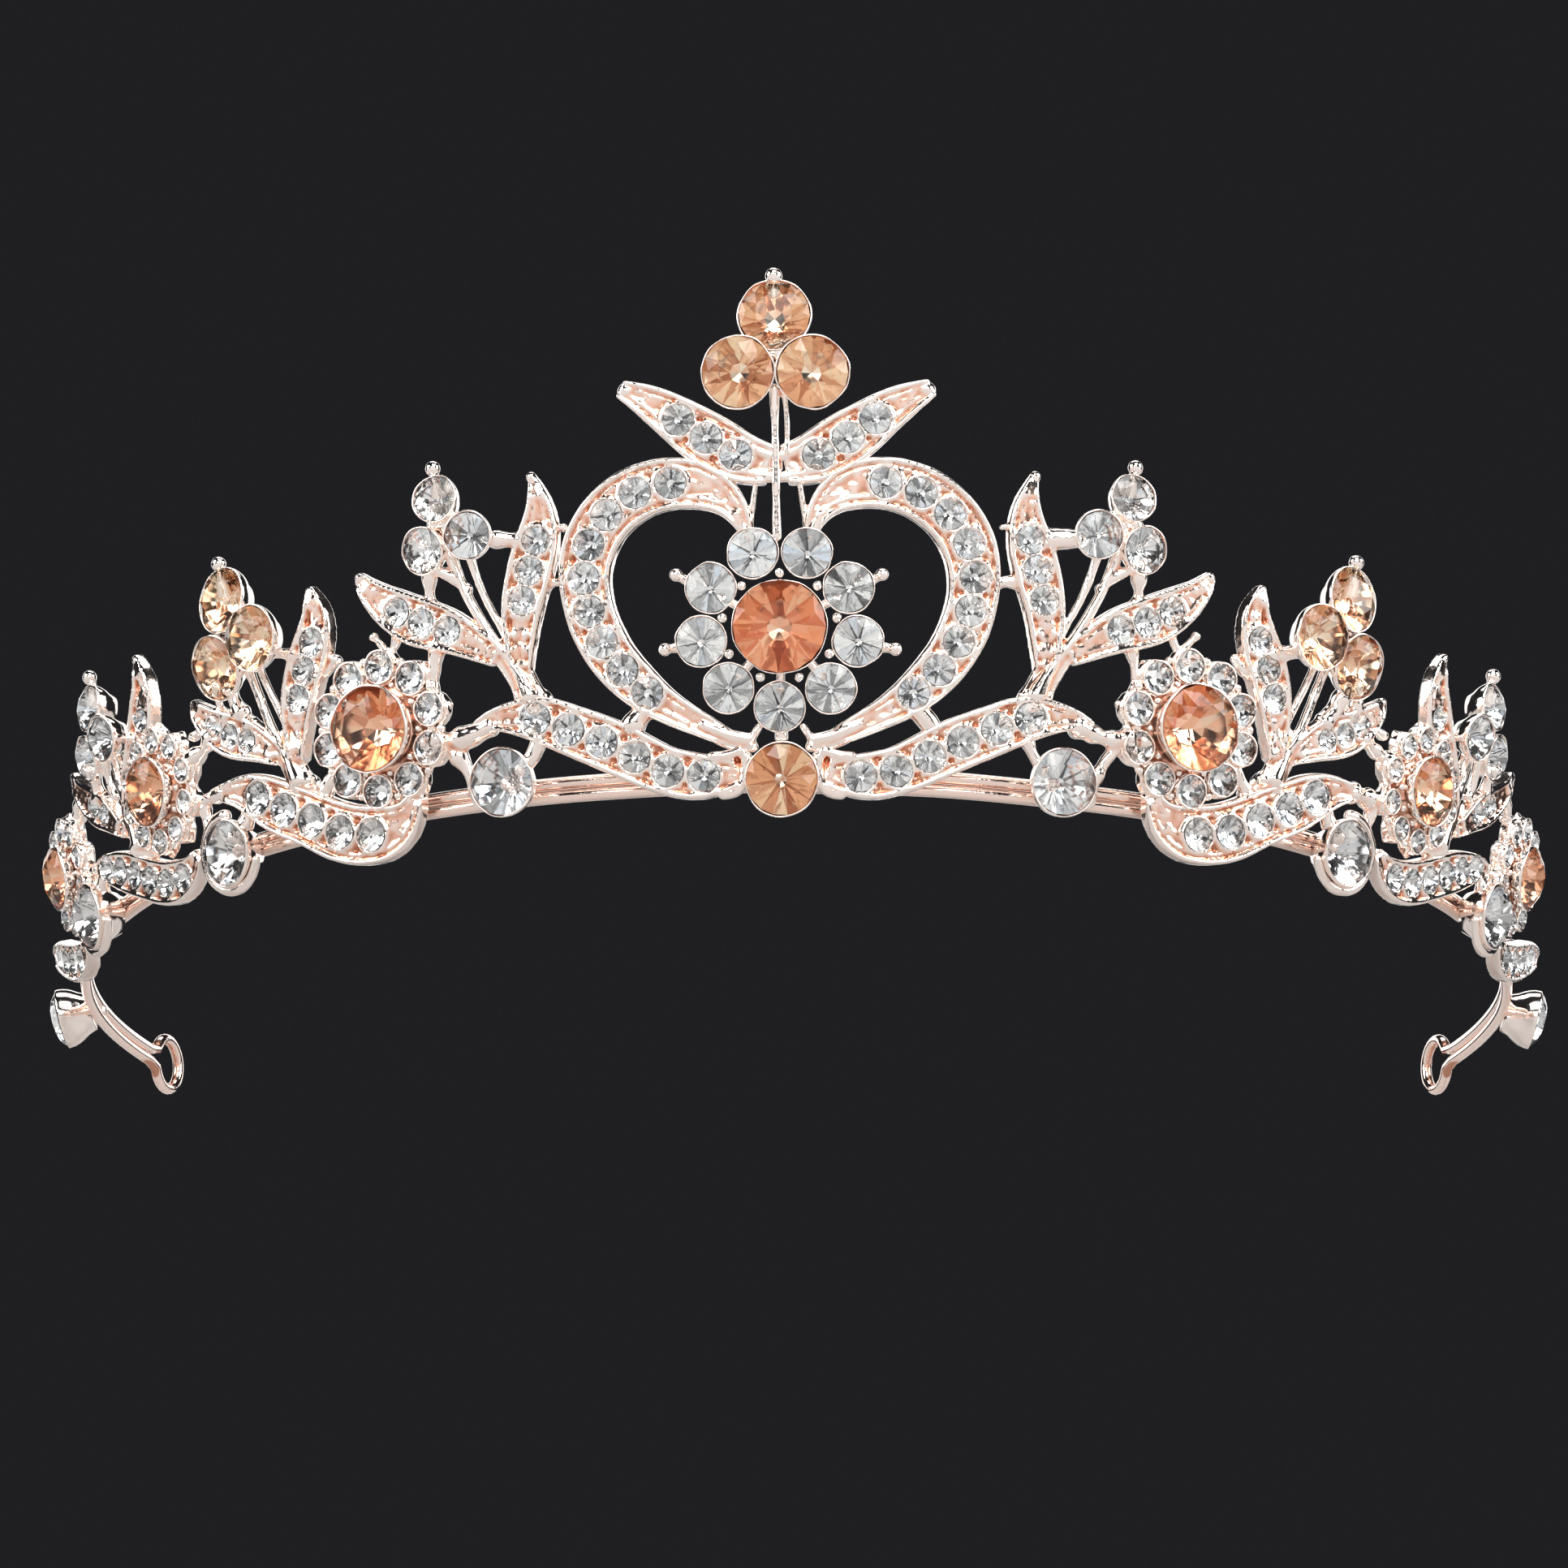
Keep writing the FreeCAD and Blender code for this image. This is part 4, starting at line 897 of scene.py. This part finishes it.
for node, look, depth in (
        ("heart_pave_stones", CLEAR, 0.36), ("crest_leaf_stones", CLEAR, 0.36),
        ("crest_berry_stones", CHAMPAGNE, 0.36), ("flower_centre_stone", PEACH, 0.36),
        ("flower_petal_stones", CLEAR, 0.42), ("base_stone", CHAMPAGNE, 0.42),
        ("ribbon_stones", CLEAR, 0.36), ("leaf_stones", CLEAR, 0.36),
        ("rosette_centre_stones", SALMON, 0.35), ("rosette_petal_stones", CLEAR, 0.32),
        ("berry_stones_clear", CLEAR, 0.42), ("berry_stones_champagne", CHAMPAGNE, 0.36),
        ("drop_stones", CLEAR, 0.42)):
    stone_group(node, look, depth)

# ---------------------------------------------------------------- band and solder

# Where the band's end rings start, their radius, the strands' distance apart and the wire's radius
REACH, LOOP, SPACING, WIRE = 138.0, 2.7, 1.24, 0.58
route = []
for side in (-1, 1):
    ends = np.linspace(-158, 158, 25) if side > 0 else np.linspace(22, 338, 25)
    strand = np.linspace(-REACH + 1.6, REACH - 1.6, 150) * side
    route += [(along, -side * SPACING / 2) for along in strand]
    route += [(side * (REACH + LOOP) + LOOP * math.cos(angle), LOOP * math.sin(angle))
              for angle in map(math.radians, ends)]
route = np.array(route)
turn = route[:, 0] / PANEL_RADIUS
wire = BAND_CENTRE + np.stack((BAND_RADIUS * np.sin(turn), -BAND_RADIUS * np.cos(turn), route[:, 1]), -1)
wire += 0.05 * np.stack([value_noise(wire, 9.0, seed) for seed in (2, 5, 8)], -1)
band = mesh_from("band_wire_drawn", [tube(wire, WIRE, 14, closed=True)])
mark_hollows(band)
band.shade_smooth()
finish_piece("band_wire_drawn", [band], "band_wire", [wire_metal])

# Solder that has run round the band where the castings meet it
blobs = []
for count, along in enumerate(SOLDER):
    for side in ((-1, 1) if along else (1,)):
        for piece in range(6):
            shift = random.uniform(-1.1, 1.1), random.uniform(-0.5, 0.5), random.uniform(-1.5, -0.3)
            middle = spot(side * along + shift[0], shift[1], shift[2])
            blobs.append(lump(middle, random.uniform(0.6, 0.95), count + piece, rough=0.25))
solder = fused("solder_joints_flowed", blobs, 0.16)
cast_skin(solder, 2, 0.05, 7)
mark_hollows(solder)
solder.shade_smooth()
finish_piece("solder_joints_flowed", [solder], "solder_joints", [solder_metal])

# ---------------------------------------------------------------- studio

def aim(thing, target):
    way = Vector(target) - thing.location
    thing.rotation_mode = "QUATERNION"
    thing.rotation_quaternion = way.to_track_quat("-Z", "Y")


def softbox(name, place, size, power, colour=(1.0, 1.0, 1.0), target=(0.0, 0.0, 0.02)):
    data = bpy.data.lights.new(name, "AREA")
    data.shape = "RECTANGLE"
    data.size, data.size_y = size
    data.energy = power
    data.color = colour
    light = bpy.data.objects.new(name, data)
    bpy.context.scene.collection.objects.link(light)
    light.location = place
    aim(light, target)


softbox("key", (0.10, -0.55, 0.55), (0.46, 0.26), 3.6)
softbox("front", (0.0, -0.95, 0.24), (1.00, 0.26), 3.9)
softbox("left", (-0.62, -0.25, 0.28), (0.45, 0.40), 3.4)
softbox("right", (0.62, -0.20, 0.28), (0.45, 0.40), 3.4)
softbox("top", (0.0, 0.10, 0.70), (0.60, 0.30), 1.4)
softbox("back", (0.0, 0.85, 0.42), (1.60, 0.55), 4.0)

world = bpy.data.worlds.new("studio")
bpy.context.scene.world = world
world.use_nodes = True
world.node_tree.nodes["Background"].inputs["Color"].default_value = (0.014, 0.014, 0.0155, 1.0)

# The floor is pale seen from above; from below it lets the view through, because the photographed
# viewpoint is lower than the band's plane. Its half width and its height, just under the tiara, are in
# metres.
FLOOR_HALF, FLOOR_Z = 3.0, -0.0003
floor_material, nodes, links, shader = new_material("pale_floor")
shader.inputs["Roughness"].default_value = 0.85
grain = noise_node(nodes, links, 60.0)
tone = ramp_node(nodes, ((0.3, (0.52, 0.51, 0.505)), (0.7, (0.54, 0.53, 0.525))))
links.new(grain.outputs["Fac"], tone.inputs["Fac"])
links.new(tone.outputs["Color"], shader.inputs["Base Color"])
under = nodes.new("ShaderNodeNewGeometry")
clear = nodes.new("ShaderNodeBsdfTransparent")
choose = nodes.new("ShaderNodeMixShader")
links.new(under.outputs["Backfacing"], choose.inputs["Fac"])
links.new(shader.outputs["BSDF"], choose.inputs[1])
links.new(clear.outputs["BSDF"], choose.inputs[2])
links.new(choose.outputs["Shader"], nodes["Material Output"].inputs["Surface"])
floor_mesh = bpy.data.meshes.new("floor")
corners = [(x * FLOOR_HALF, y * FLOOR_HALF, 0) for x, y in ((-1, -1), (1, -1), (1, 1), (-1, 1))]
floor_mesh.from_pydata(corners, [], [(0, 1, 2, 3)])
floor_mesh.materials.append(floor_material)
floor = bpy.data.objects.new("floor", floor_mesh)
bpy.context.scene.collection.objects.link(floor)
floor.location.z = FLOOR_Z

# Camera: square on to the front, looking up at the leaning panel from below the band
ELEVATION, DISTANCE = math.radians(18.7), 0.410
YAW, ROLL = math.radians(1.08), math.radians(0.32)
PIVOT = Vector((0.0, 0.0166, 0.0))
front = Vector((0.0, (BAND_CENTRE[1] - PANEL_RADIUS) * MM, BAND_CENTRE[2] * MM))
camera_data = bpy.data.cameras.new("camera")
camera_data.lens = 107.0
camera_data.sensor_width = 36.0
camera_data.shift_x = -0.0071
camera_data.shift_y = -0.0061
camera_data.clip_start = 0.01
camera = bpy.data.objects.new("camera", camera_data)
bpy.context.scene.collection.objects.link(camera)
camera.location = front - DISTANCE * Vector((0.0, math.cos(ELEVATION), math.sin(ELEVATION)))
aim(camera, front)
swing = Quaternion((0.0, 0.0, 1.0), YAW)
camera.location = PIVOT + swing @ (camera.location - PIVOT)
camera.rotation_quaternion = swing @ camera.rotation_quaternion @ Quaternion((0.0, 0.0, 1.0), ROLL)
bpy.context.scene.camera = camera
bpy.context.scene.view_settings.view_transform = "Standard"
